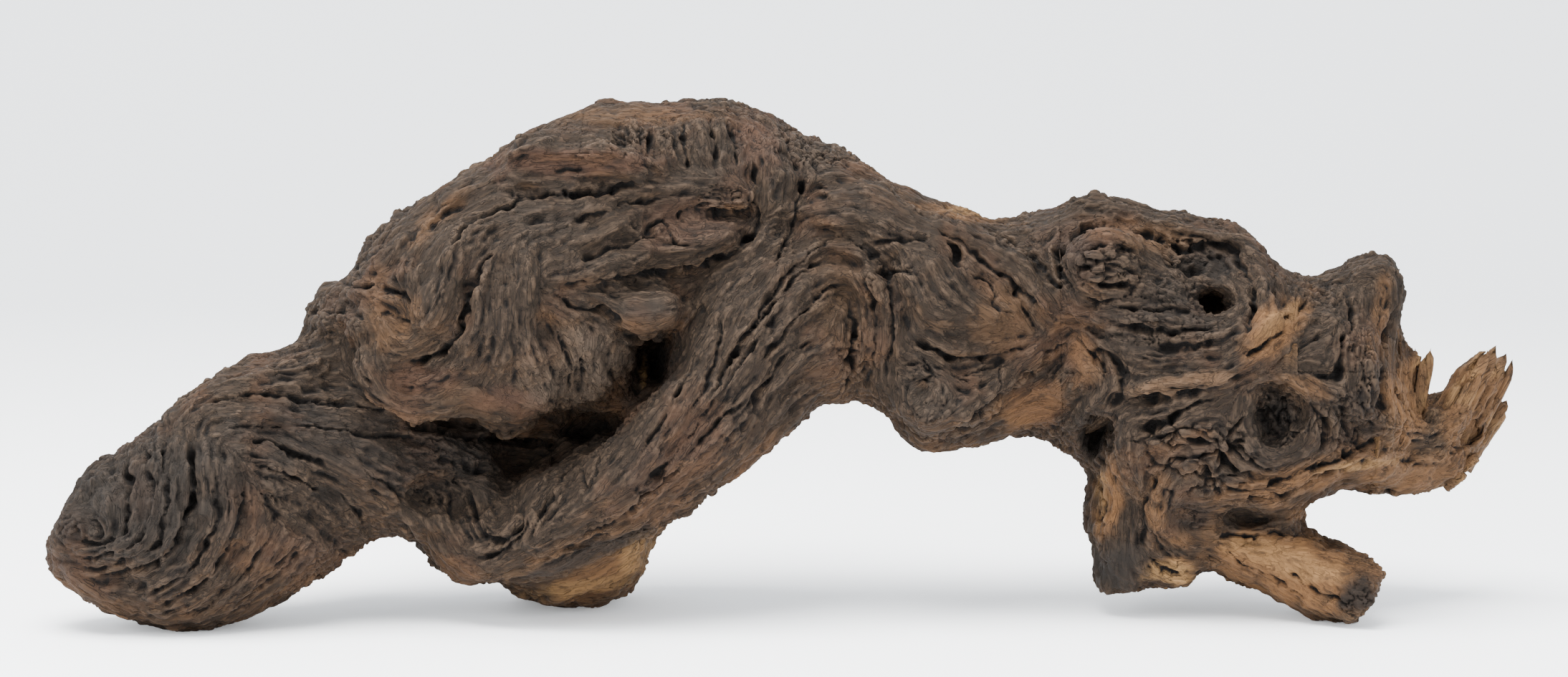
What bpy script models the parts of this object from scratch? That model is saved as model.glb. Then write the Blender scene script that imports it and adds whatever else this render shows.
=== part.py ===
"""A mopani root, 0.6 m long, that stands on three points of its own.

The wood grew as one piece. It is modelled whole, from lofted limbs, folds and
hollows that a voxel remesh fuses, and is then parted at its main forks.
Metres, +Z up, the front towards -Y, and z = 0 is the surface it stands on.
"""

import math

import bmesh
import bpy
from mathutils import Matrix, Vector
from mathutils.bvhtree import BVHTree

# Driving dimensions, in metres
ROOT_LENGTH = 0.600
FORK_GAP = 0.0003
MM = 0.001

# How finely the wood is made
FUSE_VOXEL = 0.0022
SMOOTH_STEPS = 3
KNOBBLE_SIZE = 0.022
KNOBBLE_HEIGHT = 0.0032
TRIANGLES = 7800

# Loft and tube fineness
RING_SIDES = 28
SPAN_STEPS = 5
BLUNTNESS = 2.5
TUBE_STEPS = 4
TUBE_BEVEL = 3
EMBED = 0.30
FOLD_END = 0.35
RIBS = 5
RIB_HEIGHT = 0.05
RIB_TWIST = 0.5

# Reaches that pass the whole root, and the ground that flattens its feet
SIGHT_REACH = 0.3
PRISM_REACH = 0.3
GROUND_DEPTH = 0.1
FOOT_FLAT = 0.0008

# The front view that the outlines are drawn on: columns and rows of a picture that sees the root
# from 1.5 m away and a little above
FRAME_COLUMNS = 2188
FRAME_ROWS = 945
LEFT_TIP_COLUMN = 67
RIGHT_TIP_COLUMN = 2113
UNIT = ROOT_LENGTH / (RIGHT_TIP_COLUMN - LEFT_TIP_COLUMN)
VIEW_DISTANCE = 1.5
VIEW_PITCH = math.radians(5.0)
VIEW_CENTRE_HEIGHT = 0.1132

# Limbs. Each station is a section of the limb: column and row of its one edge in the front view,
# column and row of the other, then its middle depth and half its depth in millimetres.
TRUNK = [
    (428, 430, 434, 458, -2, 8),
    (452, 402, 455, 488, -6, 24),
    (494, 390, 500, 530, -10, 34),
    (522, 335, 530, 562, -12, 44),
    (562, 297, 590, 574, -10, 52),
    (612, 268, 640, 572, -8, 58),
    (682, 222, 700, 600, -6, 62),
    (756, 180, 760, 592, -4, 62),
    (830, 147, 825, 566, -1, 58),
    (905, 148, 872, 560, 2, 52),
    (985, 137, 945, 465, 5, 46),
    (1056, 152, 1020, 480, 7, 43),
    (1112, 180, 1118, 555, 6, 42),
    (1194, 219, 1210, 560, 2, 44),
    (1256, 262, 1285, 624, -3, 48),
    (1330, 292, 1345, 620, -2, 44),
    (1400, 304, 1415, 600, 4, 40),
    (1465, 292, 1500, 600, 6, 46),
    (1540, 288, 1560, 640, 6, 54),
]
LEFT_LIMB = [
    (60, 754, 68, 782, -42, 8),
    (98, 706, 102, 820, -42, 24),
    (140, 644, 172, 857, -41, 33),
    (203, 600, 247, 879, -40, 36),
    (267, 546, 332, 868, -36, 40),
    (317, 512, 412, 818, -30, 43),
    (375, 494, 482, 772, -20, 42),
    (440, 475, 540, 746, -12, 46),
    (520, 500, 600, 762, -8, 46),
    (600, 560, 680, 790, -6, 42),
    (680, 600, 745, 785, -6, 36),
]
HEEL = [
    (380, 720, 410, 830, -32, 24),
    (420, 730, 442, 806, -30, 18),
    (452, 745, 466, 800, -28, 13),
    (470, 762, 478, 794, -28, 7),
]
DIAGONAL_ROOT = [
    (596, 748, 612, 790, -16, 10),
    (625, 715, 650, 812, -18, 28),
    (680, 690, 712, 808, -20, 36),
    (735, 662, 790, 797, -20, 42),
    (800, 630, 868, 758, -20, 44),
    (868, 588, 958, 706, -20, 44),
    (932, 512, 1040, 650, -18, 44),
    (955, 430, 1108, 598, -16, 44),
    (1000, 352, 1150, 560, -12, 44),
    (1080, 300, 1230, 540, -6, 40),
    (1180, 300, 1290, 500, 0, 30),
]
HEARTWOOD = [
    (500, 500, 560, 640, 20, 20),
    (600, 470, 640, 720, 24, 32),
    (720, 430, 740, 720, 26, 36),
    (840, 400, 850, 690, 26, 38),
    (940, 380, 960, 620, 24, 38),
    (1040, 380, 1080, 560, 20, 30),
]
REAR_FOOT = [
    (750, 700, 928, 680, 0, 36),
    (712, 775, 916, 742, 8, 43),
    (704, 806, 904, 780, 14, 43),
    (722, 826, 892, 806, 20, 37),
    (755, 838, 874, 824, 26, 27),
    (790, 841, 858, 833, 33, 13),
]
HEAD = [
    (1440, 300, 1450, 600, 6, 40),
    (1500, 287, 1530, 660, 6, 54),
    (1570, 290, 1560, 720, 6, 60),
    (1650, 305, 1640, 760, 4, 62),
    (1730, 325, 1720, 752, 4, 62),
    (1800, 385, 1800, 712, 4, 58),
    (1866, 382, 1856, 678, 6, 54),
    (1926, 430, 1922, 676, 10, 44),
    (1950, 470, 1960, 640, 14, 26),
]
TOE = [
    (1520, 600, 1760, 620, 4, 46),
    (1524, 670, 1730, 690, 4, 44),
    (1514, 715, 1705, 730, 2, 42),
    (1522, 755, 1660, 770, 0, 34),
    (1530, 785, 1620, 795, -4, 28),
    (1522, 806, 1600, 812, -8, 20),
    (1540, 826, 1570, 824, -8, 8),
]
TOE_LOBE = [
    (1610, 740, 1700, 745, -4, 34),
    (1612, 775, 1690, 778, -6, 30),
    (1606, 800, 1664, 800, -8, 24),
    (1614, 818, 1656, 816, -8, 12),
]
STUB_LEG = [
    (1730, 660, 1640, 750, 8, 40),
    (1794, 708, 1692, 790, 0, 37),
    (1836, 748, 1745, 810, -8, 33),
    (1876, 765, 1800, 838, -16, 31),
    (1908, 772, 1850, 862, -22, 31),
    (1924, 788, 1878, 872, -26, 28),
    (1926, 800, 1892, 868, -27, 18),
]
HORN = [
    (1790, 580, 1934, 590, 8, 46),
    (1795, 500, 1944, 500, 6, 42),
    (1800, 450, 1950, 450, 2, 36),
    (1815, 405, 1956, 412, -2, 29),
    (1868, 378, 1952, 380, -4, 21),
    (1905, 360, 1948, 362, -4, 13),
    (1928, 350, 1942, 350, -4, 6),
]
ARM = [
    (1830, 560, 1836, 676, 12, 36),
    (1900, 550, 1900, 684, 16, 34),
    (1950, 548, 1950, 690, 18, 31),
    (1990, 552, 1985, 683, 18, 26),
    (2018, 575, 2014, 672, 18, 19),
    (2034, 608, 2028, 656, 18, 9),
]
HOOK = [
    (1490, 560, 1545, 560, -14, 9),
    (1494, 590, 1528, 592, -16, 7),
    (1490, 615, 1510, 622, -18, 5),
    (1496, 632, 1502, 634, -18, 2),
]

# Broken blades of the splintered arm, drawn as the limbs are
SPLINTERS = [
    [(1940, 610, 1984, 610, 4, 10), (1942, 560, 1978, 560, 2, 8), (1946, 520, 1978, 526, 2, 6),
     (1960, 492, 1992, 508, 2, 4), (1980, 482, 2000, 490, 2, 2.5)],
    [(1996, 640, 2040, 650, 10, 12), (2006, 575, 2046, 592, 8, 9), (2018, 528, 2056, 540, 7, 7),
     (2042, 494, 2070, 512, 6, 5), (2076, 476, 2090, 486, 6, 2.5)],
    [(2006, 640, 2050, 640, 20, 12), (2036, 570, 2078, 590, 20, 9), (2064, 524, 2096, 542, 20, 7),
     (2108, 498, 2124, 510, 20, 3)],
    [(2026, 640, 2050, 652, 28, 10), (2060, 576, 2078, 600, 30, 8), (2082, 560, 2094, 578, 31, 5),
     (2102, 556, 2110, 566, 31, 2.5)],
    [(2000, 640, 2004, 684, 12, 14), (2030, 620, 2026, 662, 10, 9), (2050, 622, 2042, 642, 8, 4)],
]

# Folds of the wood: radius in pixels, then the columns and rows that each runs through
FRONT_FOLDS = [
    (22, [(690, 232), (760, 214), (830, 222), (895, 250), (950, 262), (1010, 258)]),
    (26, [(700, 300), (650, 330), (628, 390), (606, 440), (572, 474)]),
    (24, [(536, 470), (532, 520), (560, 552), (620, 545), (680, 530)]),
    (22, [(740, 330), (720, 400), (708, 470), (740, 540), (780, 560)]),
    (20, [(800, 350), (880, 330), (960, 330), (1030, 300), (1052, 262)]),
    (16, [(800, 392), (870, 366), (950, 352), (1010, 330)]),
    (24, [(870, 430), (905, 430), (938, 432)]),
    (18, [(1090, 190), (1092, 260), (1078, 330), (1040, 400)]),
    (22, [(760, 740), (850, 670), (940, 580), (1010, 480), (1080, 400), (1150, 350)]),
    (16, [(1060, 500), (1120, 430), (1170, 385), (1210, 392), (1236, 440), (1240, 500)]),
    (14, [(1190, 262), (1260, 290), (1300, 312)]),
    (22, [(1310, 325), (1360, 350), (1405, 388), (1440, 418)]),
    (20, [(1280, 380), (1320, 430), (1370, 440), (1410, 430)]),
    (26, [(1270, 520), (1300, 575), (1350, 560), (1420, 510), (1460, 480)]),
    (16, [(1480, 520), (1530, 528), (1540, 560), (1516, 600)]),
    (20, [(1462, 330), (1500, 300), (1570, 306), (1650, 328), (1720, 352), (1752, 400),
          (1752, 450), (1730, 490)]),
    (26, [(1515, 385), (1560, 395), (1580, 370)]),
    (16, [(1620, 370), (1660, 395), (1690, 400)]),
    (22, [(1820, 400), (1790, 440), (1750, 480), (1728, 510)]),
    (18, [(1560, 540), (1620, 530), (1690, 528), (1730, 500)]),
    (20, [(1578, 560), (1572, 610), (1580, 650)]),
    (26, [(1660, 590), (1700, 610), (1650, 650)]),
    (22, [(1740, 630), (1710, 680), (1650, 690)]),
    (18, [(1620, 660), (1614, 710), (1622, 750)]),
    (16, [(1720, 700), (1800, 668), (1880, 640), (1930, 610)]),
    (18, [(1850, 420), (1870, 470), (1868, 520)]),
    (20, [(1920, 460), (1915, 520), (1905, 580)]),
    (22, [(1560, 740), (1550, 790)]),
    (22, [(150, 700), (170, 760), (240, 740), (260, 660)]),
    (18, [(300, 640), (310, 720), (280, 800)]),
    (16, [(350, 560), (420, 600), (500, 640), (570, 690)]),
    (18, [(370, 740), (430, 760), (460, 730)]),
]
BACK_FOLDS = [
    (30, [(470, 450), (600, 380), (720, 330), (850, 300), (980, 330)]),
    (26, [(560, 520), (660, 450), (780, 420), (900, 440), (1000, 500), (1100, 540)]),
    (28, [(600, 300), (720, 240), (860, 215), (1000, 220), (1100, 260)]),
    (24, [(110, 740), (200, 670), (300, 600), (420, 560), (540, 600)]),
    (22, [(150, 800), (260, 760), (360, 690), (480, 660), (600, 700)]),
    (24, [(700, 740), (800, 650), (900, 590), (1000, 520), (1080, 430)]),
    (26, [(1050, 330), (1150, 330), (1250, 380), (1350, 400), (1450, 370)]),
    (24, [(1180, 480), (1270, 550), (1350, 540), (1430, 480), (1500, 420)]),
    (28, [(1500, 340), (1600, 340), (1700, 380), (1760, 440), (1740, 520)]),
    (26, [(1560, 520), (1620, 580), (1700, 600), (1800, 560), (1880, 500)]),
    (22, [(1560, 640), (1650, 660), (1760, 640), (1860, 620), (1960, 620)]),
    (20, [(1560, 740), (1600, 690), (1640, 610)]),
    (22, [(1830, 420), (1860, 460), (1900, 520)]),
]

# Round burls: column, row and depth of the middle, then the half width, half height and half
# depth in millimetres
BURLS = [
    (640, 400, 44, 30, 26, 16),
    (800, 270, 50, 34, 22, 14),
    (890, 480, 38, 24, 22, 18),
    (1090, 260, 38, 26, 20, 14),
    (1300, 470, 36, 30, 24, 16),
    (1580, 400, 44, 28, 26, 22),
    (1700, 560, 52, 26, 22, 18),
    (300, 690, -2, 22, 24, 14),
    (470, 600, 26, 26, 22, 16),
    (770, 225, -18, 20, 10, 26),
    (980, 168, 16, 16, 7, 20),
    (1570, 330, 18, 26, 9, 26),
    (1300, 560, -38, 16, 14, 14),
    (1545, 372, -46, 17, 14, 12),
    (905, 432, -44, 13, 7, 10),
    (1650, 600, -48, 16, 14, 12),
    (1320, 320, 10, 18, 8, 24),
]

# Hollows: column, row and depth of the middle, then the half width, half height and half depth in
# millimetres
HOLLOWS = [
    (905, 505, -30, 8, 13, 40),
    (800, 596, -34, 19, 8, 34),
    (660, 590, -48, 20, 5, 22),
    (1695, 424, -48, 7, 7, 26),
    (1672, 385, -58, 15, 9, 12),
    (1592, 402, -62, 20, 12, 8),
    (1783, 582, -54, 12, 15, 20),
    (1655, 728, -50, 9, 7, 12),
    (1536, 606, -34, 7, 13, 22),
    (1462, 572, -38, 14, 9, 12),
    (1760, 725, -44, 22, 7, 16),
    (1985, 560, -4, 4, 8, 12),
    (2052, 606, 4, 8, 7, 16),
    (1900, 610, -46, 8, 6, 8),
    (760, 268, -58, 13, 4, 7),
    (620, 690, -46, 16, 9, 14),
    (1288, 548, -58, 5, 4, 8),
]

# Forks: the limb that each parts from the trunk or the head, and the outline in the front view that
# the limb lies in. An outline's first two places are the fork's own line.
FORKS = {
    "left_limb": [(560, 772), (412, 440), (412, 300), (0, 300), (0, 940), (560, 940)],
    "rear_foot": [(700, 800), (945, 728), (1000, 800), (1000, 940), (700, 940)],
    "stub_leg": [(1842, 698), (1690, 788), (1690, 940), (2000, 940), (2000, 760)],
    "front_toe": [(1500, 738), (1722, 790), (1686, 940), (1480, 940)],
    "splinter_arm": [(1962, 478), (1900, 730), (2188, 730), (2188, 478)],
    "horn": [(1780, 420), (1975, 482), (2000, 482), (2000, 320), (1780, 320)],
    "right_head": [(1478, 250), (1482, 660), (1482, 940), (2188, 940), (2188, 250)],
}

# Each node's colour (linear red, green and blue) and roughness
WOODS = {
    "trunk": ((0.095, 0.060, 0.040), 0.85),
    "left_limb": ((0.085, 0.055, 0.038), 0.87),
    "rear_foot": ((0.330, 0.200, 0.090), 0.80),
    "right_head": ((0.100, 0.060, 0.036), 0.85),
    "front_toe": ((0.150, 0.090, 0.048), 0.80),
    "stub_leg": ((0.300, 0.180, 0.080), 0.78),
    "splinter_arm": ((0.260, 0.150, 0.070), 0.80),
    "horn": ((0.130, 0.075, 0.042), 0.84),
}

LIMBS = {
    "trunk_limb": TRUNK,
    "left_limb_loft": LEFT_LIMB,
    "heel": HEEL,
    "diagonal_root": DIAGONAL_ROOT,
    "heartwood": HEARTWOOD,
    "rear_foot_loft": REAR_FOOT,
    "head": HEAD,
    "toe": TOE,
    "toe_lobe": TOE_LOBE,
    "stub_leg_loft": STUB_LEG,
    "horn_loft": HORN,
    "arm": ARM,
    "hook": HOOK,
}


def seen(column, row, depth):
    """The point at that depth (y) that the front view shows at that column and row."""
    reach = VIEW_DISTANCE / UNIT
    forward = Vector((0, math.cos(VIEW_PITCH), -math.sin(VIEW_PITCH)))
    upward = Vector((0, math.sin(VIEW_PITCH), math.cos(VIEW_PITCH)))
    across = (column - FRAME_COLUMNS / 2) / reach
    above = (FRAME_ROWS / 2 - row) / reach
    sight = forward + Vector((across, 0, 0)) + upward * above
    eye = Vector((0, 0, VIEW_CENTRE_HEIGHT)) - forward * VIEW_DISTANCE
    return eye + sight * ((depth - eye.y) / sight.y)


def smooth_way(stations, steps):
    """The stations joined by a Catmull-Rom curve, with that many steps between each two."""
    rows = [Vector(station) for station in stations]
    rows = [rows[0] * 2 - rows[1]] + rows + [rows[-1] * 2 - rows[-2]]
    way = []
    for before, start, end, after in zip(rows, rows[1:], rows[2:], rows[3:]):
        for step in range(steps):
            t = step / steps
            way.append(0.5 * (start * 2 + (end - before) * t
                              + (before * 2 - start * 5 + end * 4 - after) * t * t
                              + (start * 3 - before - end * 3 + after) * t ** 3))
    way.append(rows[-2])
    return way


def new_object(name, mesh, home):
    thing = bpy.data.objects.new(name, mesh)
    home.objects.link(thing)
    return thing


def mesh_object(name, shape, home):
    """An object made from a bmesh, which is freed."""
    mesh = bpy.data.meshes.new(name)
    shape.to_mesh(mesh)
    shape.free()
    return new_object(name, mesh, home)


def section(station, turn_along):
    """One ring of a limb: a blunt ellipse between its two edges, with a few ribs that twist."""
    edge = seen(station[0], station[1], station[4] * MM)
    other = seen(station[2], station[3], station[4] * MM)
    middle = (edge + other) / 2
    across = (edge - other) / 2
    inward = Vector((0, station[5] * MM, 0))
    ring = []
    for side in range(RING_SIDES):
        turn = math.tau * side / RING_SIDES
        rib = 1 + RIB_HEIGHT * math.sin(RIBS * turn + turn_along)
        wide = math.copysign(abs(math.cos(turn)) ** (2 / BLUNTNESS), math.cos(turn))
        deep = math.copysign(abs(math.sin(turn)) ** (2 / BLUNTNESS), math.sin(turn))
        ring.append(middle + across * wide + inward * deep * rib)
    return ring


def limb(name, stations, home):
    """A limb lofted through its stations, closed at both ends."""
    shape = bmesh.new()
    rings = []
    for count, station in enumerate(smooth_way(stations, SPAN_STEPS)):
        ring = section(station, RIB_TWIST * count / SPAN_STEPS)
        rings.append([shape.verts.new(point) for point in ring])
    for ring, following in zip(rings, rings[1:]):
        for side in range(RING_SIDES):
            after = (side + 1) % RING_SIDES
            shape.faces.new((ring[side], following[side], following[after], ring[after]))
    shape.faces.new(rings[0])
    shape.faces.new(list(reversed(rings[-1])))
    bmesh.ops.recalc_face_normals(shape, faces=shape.faces)
    return mesh_object(name, shape, home)


def evaluated_copy(thing, name, home):
    """The object as its modifiers leave it, as a new mesh in place of the old object."""
    bpy.context.view_layer.update()
    ready = thing.evaluated_get(bpy.context.evaluated_depsgraph_get())
    mesh = bpy.data.meshes.new_from_object(ready)
    mesh.transform(thing.matrix_world)
    bpy.data.objects.remove(thing)
    return new_object(name, mesh, home)


def fuse(name, pieces, voxel, smoothing, home):
    """Many closed shapes as one skin: a voxel remesh of them all together, then smoothed."""
    joined = bmesh.new()
    for piece in pieces:
        joined.from_mesh(piece.data)
        bpy.data.objects.remove(piece)
    body = mesh_object(name, joined, home)
    skin = body.modifiers.new("skin", "REMESH")
    skin.mode = "VOXEL"
    skin.voxel_size = voxel
    ease = body.modifiers.new("ease", "SMOOTH")
    ease.factor = 0.5
    ease.iterations = smoothing
    return evaluated_copy(body, name, home)


def skin_tree(body):
    return BVHTree.FromPolygons([v.co for v in body.data.vertices],
                                [p.vertices for p in body.data.polygons])


def on_skin(tree, column, row, from_behind):
    """Where the sight through that column and row meets the skin, from the front or from behind."""
    near = seen(column, row, -SIGHT_REACH)
    far = seen(column, row, SIGHT_REACH)
    if from_behind:
        middle = seen(column, row, 0)
        near = middle + Vector((0, SIGHT_REACH, 0))
        far = middle - Vector((0, SIGHT_REACH, 0))
    sight = (far - near).normalized()
    place = tree.ray_cast(near, sight)[0]
    if place is None:
        place = tree.find_nearest(seen(column, row, 0))[0]
    return place, sight


def fold(name, radius, places, tree, from_behind, home):
    """A fold of wood: a round bead, fine at both ends, that lies half sunk along the skin."""
    size = radius * UNIT
    line = bpy.data.curves.new(name, "CURVE")
    line.dimensions = "3D"
    line.bevel_depth = size
    line.bevel_resolution = TUBE_BEVEL
    line.use_fill_caps = True
    line.resolution_u = TUBE_STEPS
    way = smooth_way(places, TUBE_STEPS)
    run = line.splines.new("POLY")
    run.points.add(len(way) - 1)
    for count, (point, place) in enumerate(zip(run.points, way)):
        spot, sight = on_skin(tree, place[0], place[1], from_behind)
        spot = spot + sight * size * EMBED
        point.co = (spot.x, spot.y, spot.z, 1)
        along = count / (len(way) - 1)
        point.radius = FOLD_END + (1 - FOLD_END) * math.sin(math.pi * along) ** 0.5
    curve = bpy.data.objects.new(name, line)
    home.objects.link(curve)
    return evaluated_copy(curve, name, home)


def ball(name, middle, size, home):
    """A sphere stretched to half its width, depth and height: a burl, or a hollow's cutter."""
    shape = bmesh.new()
    bmesh.ops.create_uvsphere(shape, u_segments=20, v_segments=12, radius=1)
    bmesh.ops.transform(shape, matrix=Matrix.Translation(middle) @ Matrix.Diagonal(size).to_4x4(),
                        verts=shape.verts)
    return mesh_object(name, shape, home)


def prism(name, outline, offset, home):
    """A straight-sided cutter through the whole depth, from an outline in the front view."""
    shape = bmesh.new()
    front = []
    for column, row in outline:
        point = seen(column, row, 0)
        front.append(shape.verts.new((point.x + offset.x, -PRISM_REACH, point.z + offset.z)))
    face = shape.faces.new(front)
    swept = bmesh.ops.extrude_face_region(shape, geom=[face])
    moved = [item for item in swept["geom"] if isinstance(item, bmesh.types.BMVert)]
    bmesh.ops.translate(shape, verts=moved, vec=(0, 2 * PRISM_REACH, 0))
    bmesh.ops.recalc_face_normals(shape, faces=shape.faces)
    return mesh_object(name, shape, home)


def ground(home):
    """All that is below the surface that the root stands on."""
    shape = bmesh.new()
    bmesh.ops.create_cube(shape, size=1)
    size = Vector((2 * ROOT_LENGTH, ROOT_LENGTH, GROUND_DEPTH))
    place = Matrix.Translation((0, 0, FOOT_FLAT - GROUND_DEPTH / 2))
    bmesh.ops.transform(shape, matrix=place @ Matrix.Diagonal(size).to_4x4(), verts=shape.verts)
    return mesh_object("ground", shape, home)


def hide_cutter(cutter):
    cutter.hide_render = True
    cutter.display_type = "WIRE"


def cut(body, cutter, how):
    """A Boolean modifier on the body, left for the viewport to evaluate."""
    hide_cutter(cutter)
    tool = body.modifiers.new(cutter.name, "BOOLEAN")
    tool.operation = how
    tool.solver = "EXACT"
    tool.object = cutter


def knobble(body):
    """Low lumps all over, from a cloudy noise."""
    noise = bpy.data.textures.new("knobbles", "CLOUDS")
    noise.noise_scale = KNOBBLE_SIZE
    noise.noise_depth = 1
    lumps = body.modifiers.new("knobbles", "DISPLACE")
    lumps.texture = noise
    lumps.texture_coords = "LOCAL"
    lumps.strength = KNOBBLE_HEIGHT
    lumps.mid_level = 0.5


def largest_piece(thing):
    """Only the object's largest connected body stays."""
    shape = bmesh.new()
    shape.from_mesh(thing.data)
    left = set(shape.verts)
    groups = []
    while left:
        group = set()
        edge = [left.pop()]
        while edge:
            vert = edge.pop()
            group.add(vert)
            for link in vert.link_edges:
                other = link.other_vert(vert)
                if other in left:
                    left.remove(other)
                    edge.append(other)
        groups.append(group)
    groups.sort(key=len)
    for group in groups[:-1]:
        bmesh.ops.delete(shape, geom=list(group), context="VERTS")
    shape.to_mesh(thing.data)
    shape.free()


def wood(name, colour, roughness):
    material = bpy.data.materials.new(name)
    material.use_nodes = True
    shader = material.node_tree.nodes["Principled BSDF"]
    shader.inputs["Base Color"].default_value = (*colour, 1)
    shader.inputs["Roughness"].default_value = roughness
    shader.inputs["Metallic"].default_value = 0
    return material


def grow(home):
    """The whole root in one skin, before it is parted."""
    limbs = []
    for name, stations in LIMBS.items():
        limbs.append(limb(name, stations, home))
    for number, stations in enumerate(SPLINTERS):
        limbs.append(limb(f"splinter_{number}", stations, home))
    for number, (column, row, depth, width, height, deep) in enumerate(BURLS):
        size = Vector((width, deep, height)) * MM
        limbs.append(ball(f"burl_{number}", seen(column, row, depth * MM), size, home))
    bare = fuse("bare_root", limbs, FUSE_VOXEL, SMOOTH_STEPS, home)
    tree = skin_tree(bare)
    pieces = [bare]
    for number, (radius, places) in enumerate(FRONT_FOLDS):
        pieces.append(fold(f"front_fold_{number}", radius, places, tree, False, home))
    for number, (radius, places) in enumerate(BACK_FOLDS):
        pieces.append(fold(f"back_fold_{number}", radius, places, tree, True, home))
    return fuse("folded_root", pieces, FUSE_VOXEL, 1, home)


def hollow_out(body, home, tools):
    """The hollows, the flats under the feet, and the lumps, and then far fewer triangles."""
    knobble(body)
    body = evaluated_copy(body, "lumpy_root", home)
    for number, (column, row, depth, width, height, deep) in enumerate(HOLLOWS):
        size = Vector((width, deep, height)) * MM
        cutter = ball(f"hollow_{number}", seen(column, row, depth * MM), size, tools)
        cut(body, cutter, "DIFFERENCE")
    body = evaluated_copy(body, "hollow_root", home)
    body = fuse("even_root", [body], FUSE_VOXEL, 1, home)
    largest_piece(body)
    thin = body.modifiers.new("fewer_triangles", "DECIMATE")
    count = sum(len(p.vertices) - 2 for p in body.data.polygons)
    thin.ratio = TRIANGLES / count
    thin.use_collapse_triangulate = True
    body = evaluated_copy(body, "plain_root", home)
    cut(body, ground(tools), "DIFFERENCE")
    body = evaluated_copy(body, "standing_root", home)
    largest_piece(body)
    return body


def part_at_forks(body, home, tools):
    """The nodes: each fork's limb is what lies in its outline, and the trunk is what is left."""
    nodes = []
    for name, outline in FORKS.items():
        first = seen(*outline[0], 0)
        second = seen(*outline[1], 0)
        along = (second - first).normalized()
        away = Vector((-along.z, 0, along.x))
        middle = sum((seen(*place, 0) for place in outline), Vector()) / len(outline)
        if away.dot(middle - first) < 0:
            away = -away
        mesh = body.data.copy()
        branch = new_object(name, mesh, home)
        cut(branch, prism(f"{name}_side", outline, away * FORK_GAP, tools), "INTERSECT")
        branch = evaluated_copy(branch, name, home)
        largest_piece(branch)
        nodes.append(branch)
        cut(body, prism(f"{name}_cut", outline, Vector((0, 0, 0)), tools), "DIFFERENCE")
        body = evaluated_copy(body, "trunk", home)
        largest_piece(body)
    nodes.append(body)
    return nodes


def centre_on_ground(nodes):
    """The middle of the whole root's box goes to x = y = 0, and its feet to z = 0."""
    points = [v.co for node in nodes for v in node.data.vertices]
    low = Vector([min(point[axis] for point in points) for axis in range(3)])
    high = Vector([max(point[axis] for point in points) for axis in range(3)])
    shift = Vector((-(low.x + high.x) / 2, -(low.y + high.y) / 2, -low.z))
    for node in nodes:
        node.data.transform(Matrix.Translation(shift))
    return shift


def main():
    for thing in list(bpy.data.objects):
        bpy.data.objects.remove(thing)
    home = bpy.data.collections.new("mopani_root")
    tools = bpy.data.collections.new("cutters")
    bpy.context.scene.collection.children.link(home)
    bpy.context.scene.collection.children.link(tools)
    body = hollow_out(grow(home), home, tools)
    nodes = part_at_forks(body, home, tools)
    shift = centre_on_ground(nodes)
    for node in nodes:
        node.data.materials.clear()
        node.data.materials.append(wood(f"{node.name}_wood", *WOODS[node.name]))
        node.data.shade_smooth()
    print("drawing to root shift in mm:", [round(value / MM, 2) for value in shift])


if __name__ == "__main__":
    main()
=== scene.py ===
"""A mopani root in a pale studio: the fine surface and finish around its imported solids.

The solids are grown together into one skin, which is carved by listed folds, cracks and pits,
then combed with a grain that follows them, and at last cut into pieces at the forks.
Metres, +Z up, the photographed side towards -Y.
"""
import math

import bmesh
import bpy
import numpy as np
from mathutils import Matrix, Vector
from mathutils.geometry import tessellate_polygon


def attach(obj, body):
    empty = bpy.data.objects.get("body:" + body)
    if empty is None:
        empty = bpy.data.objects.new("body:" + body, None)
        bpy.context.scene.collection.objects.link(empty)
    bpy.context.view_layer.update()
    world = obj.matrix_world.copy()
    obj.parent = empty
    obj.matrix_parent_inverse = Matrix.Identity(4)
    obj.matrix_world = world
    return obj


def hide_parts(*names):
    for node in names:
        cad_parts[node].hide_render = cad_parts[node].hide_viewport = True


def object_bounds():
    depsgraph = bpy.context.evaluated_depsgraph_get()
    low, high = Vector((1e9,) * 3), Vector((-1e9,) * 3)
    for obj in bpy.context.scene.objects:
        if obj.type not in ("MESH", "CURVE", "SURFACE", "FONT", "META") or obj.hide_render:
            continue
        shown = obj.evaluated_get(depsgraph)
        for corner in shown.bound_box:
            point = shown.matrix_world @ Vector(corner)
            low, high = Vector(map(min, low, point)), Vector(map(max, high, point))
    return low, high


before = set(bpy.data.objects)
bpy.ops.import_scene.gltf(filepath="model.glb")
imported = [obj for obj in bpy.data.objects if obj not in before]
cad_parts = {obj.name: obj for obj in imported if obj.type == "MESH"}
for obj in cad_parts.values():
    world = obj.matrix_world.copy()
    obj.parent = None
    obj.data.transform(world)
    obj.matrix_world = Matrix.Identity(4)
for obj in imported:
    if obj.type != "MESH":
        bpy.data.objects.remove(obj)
cad_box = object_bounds()

MM = 0.001

# The photograph: its size in pixels, the length of the root in it, and where it was taken from
FRAME_COLUMNS, FRAME_ROWS = 2188, 945
TIP_COLUMNS = (67, 2113)
ROOT_LENGTH = 0.600
PIXEL = ROOT_LENGTH / (TIP_COLUMNS[1] - TIP_COLUMNS[0])
VIEW_DISTANCE = 1.5
VIEW_PITCH = math.radians(5.0)
AIM = np.array([-3.67, 3.33, 112.4]) * MM
FORWARD = np.array([0.0, math.cos(VIEW_PITCH), -math.sin(VIEW_PITCH)])
UPWARD = np.array([0.0, math.sin(VIEW_PITCH), math.cos(VIEW_PITCH)])
SENSOR_WIDTH = 36.0

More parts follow.
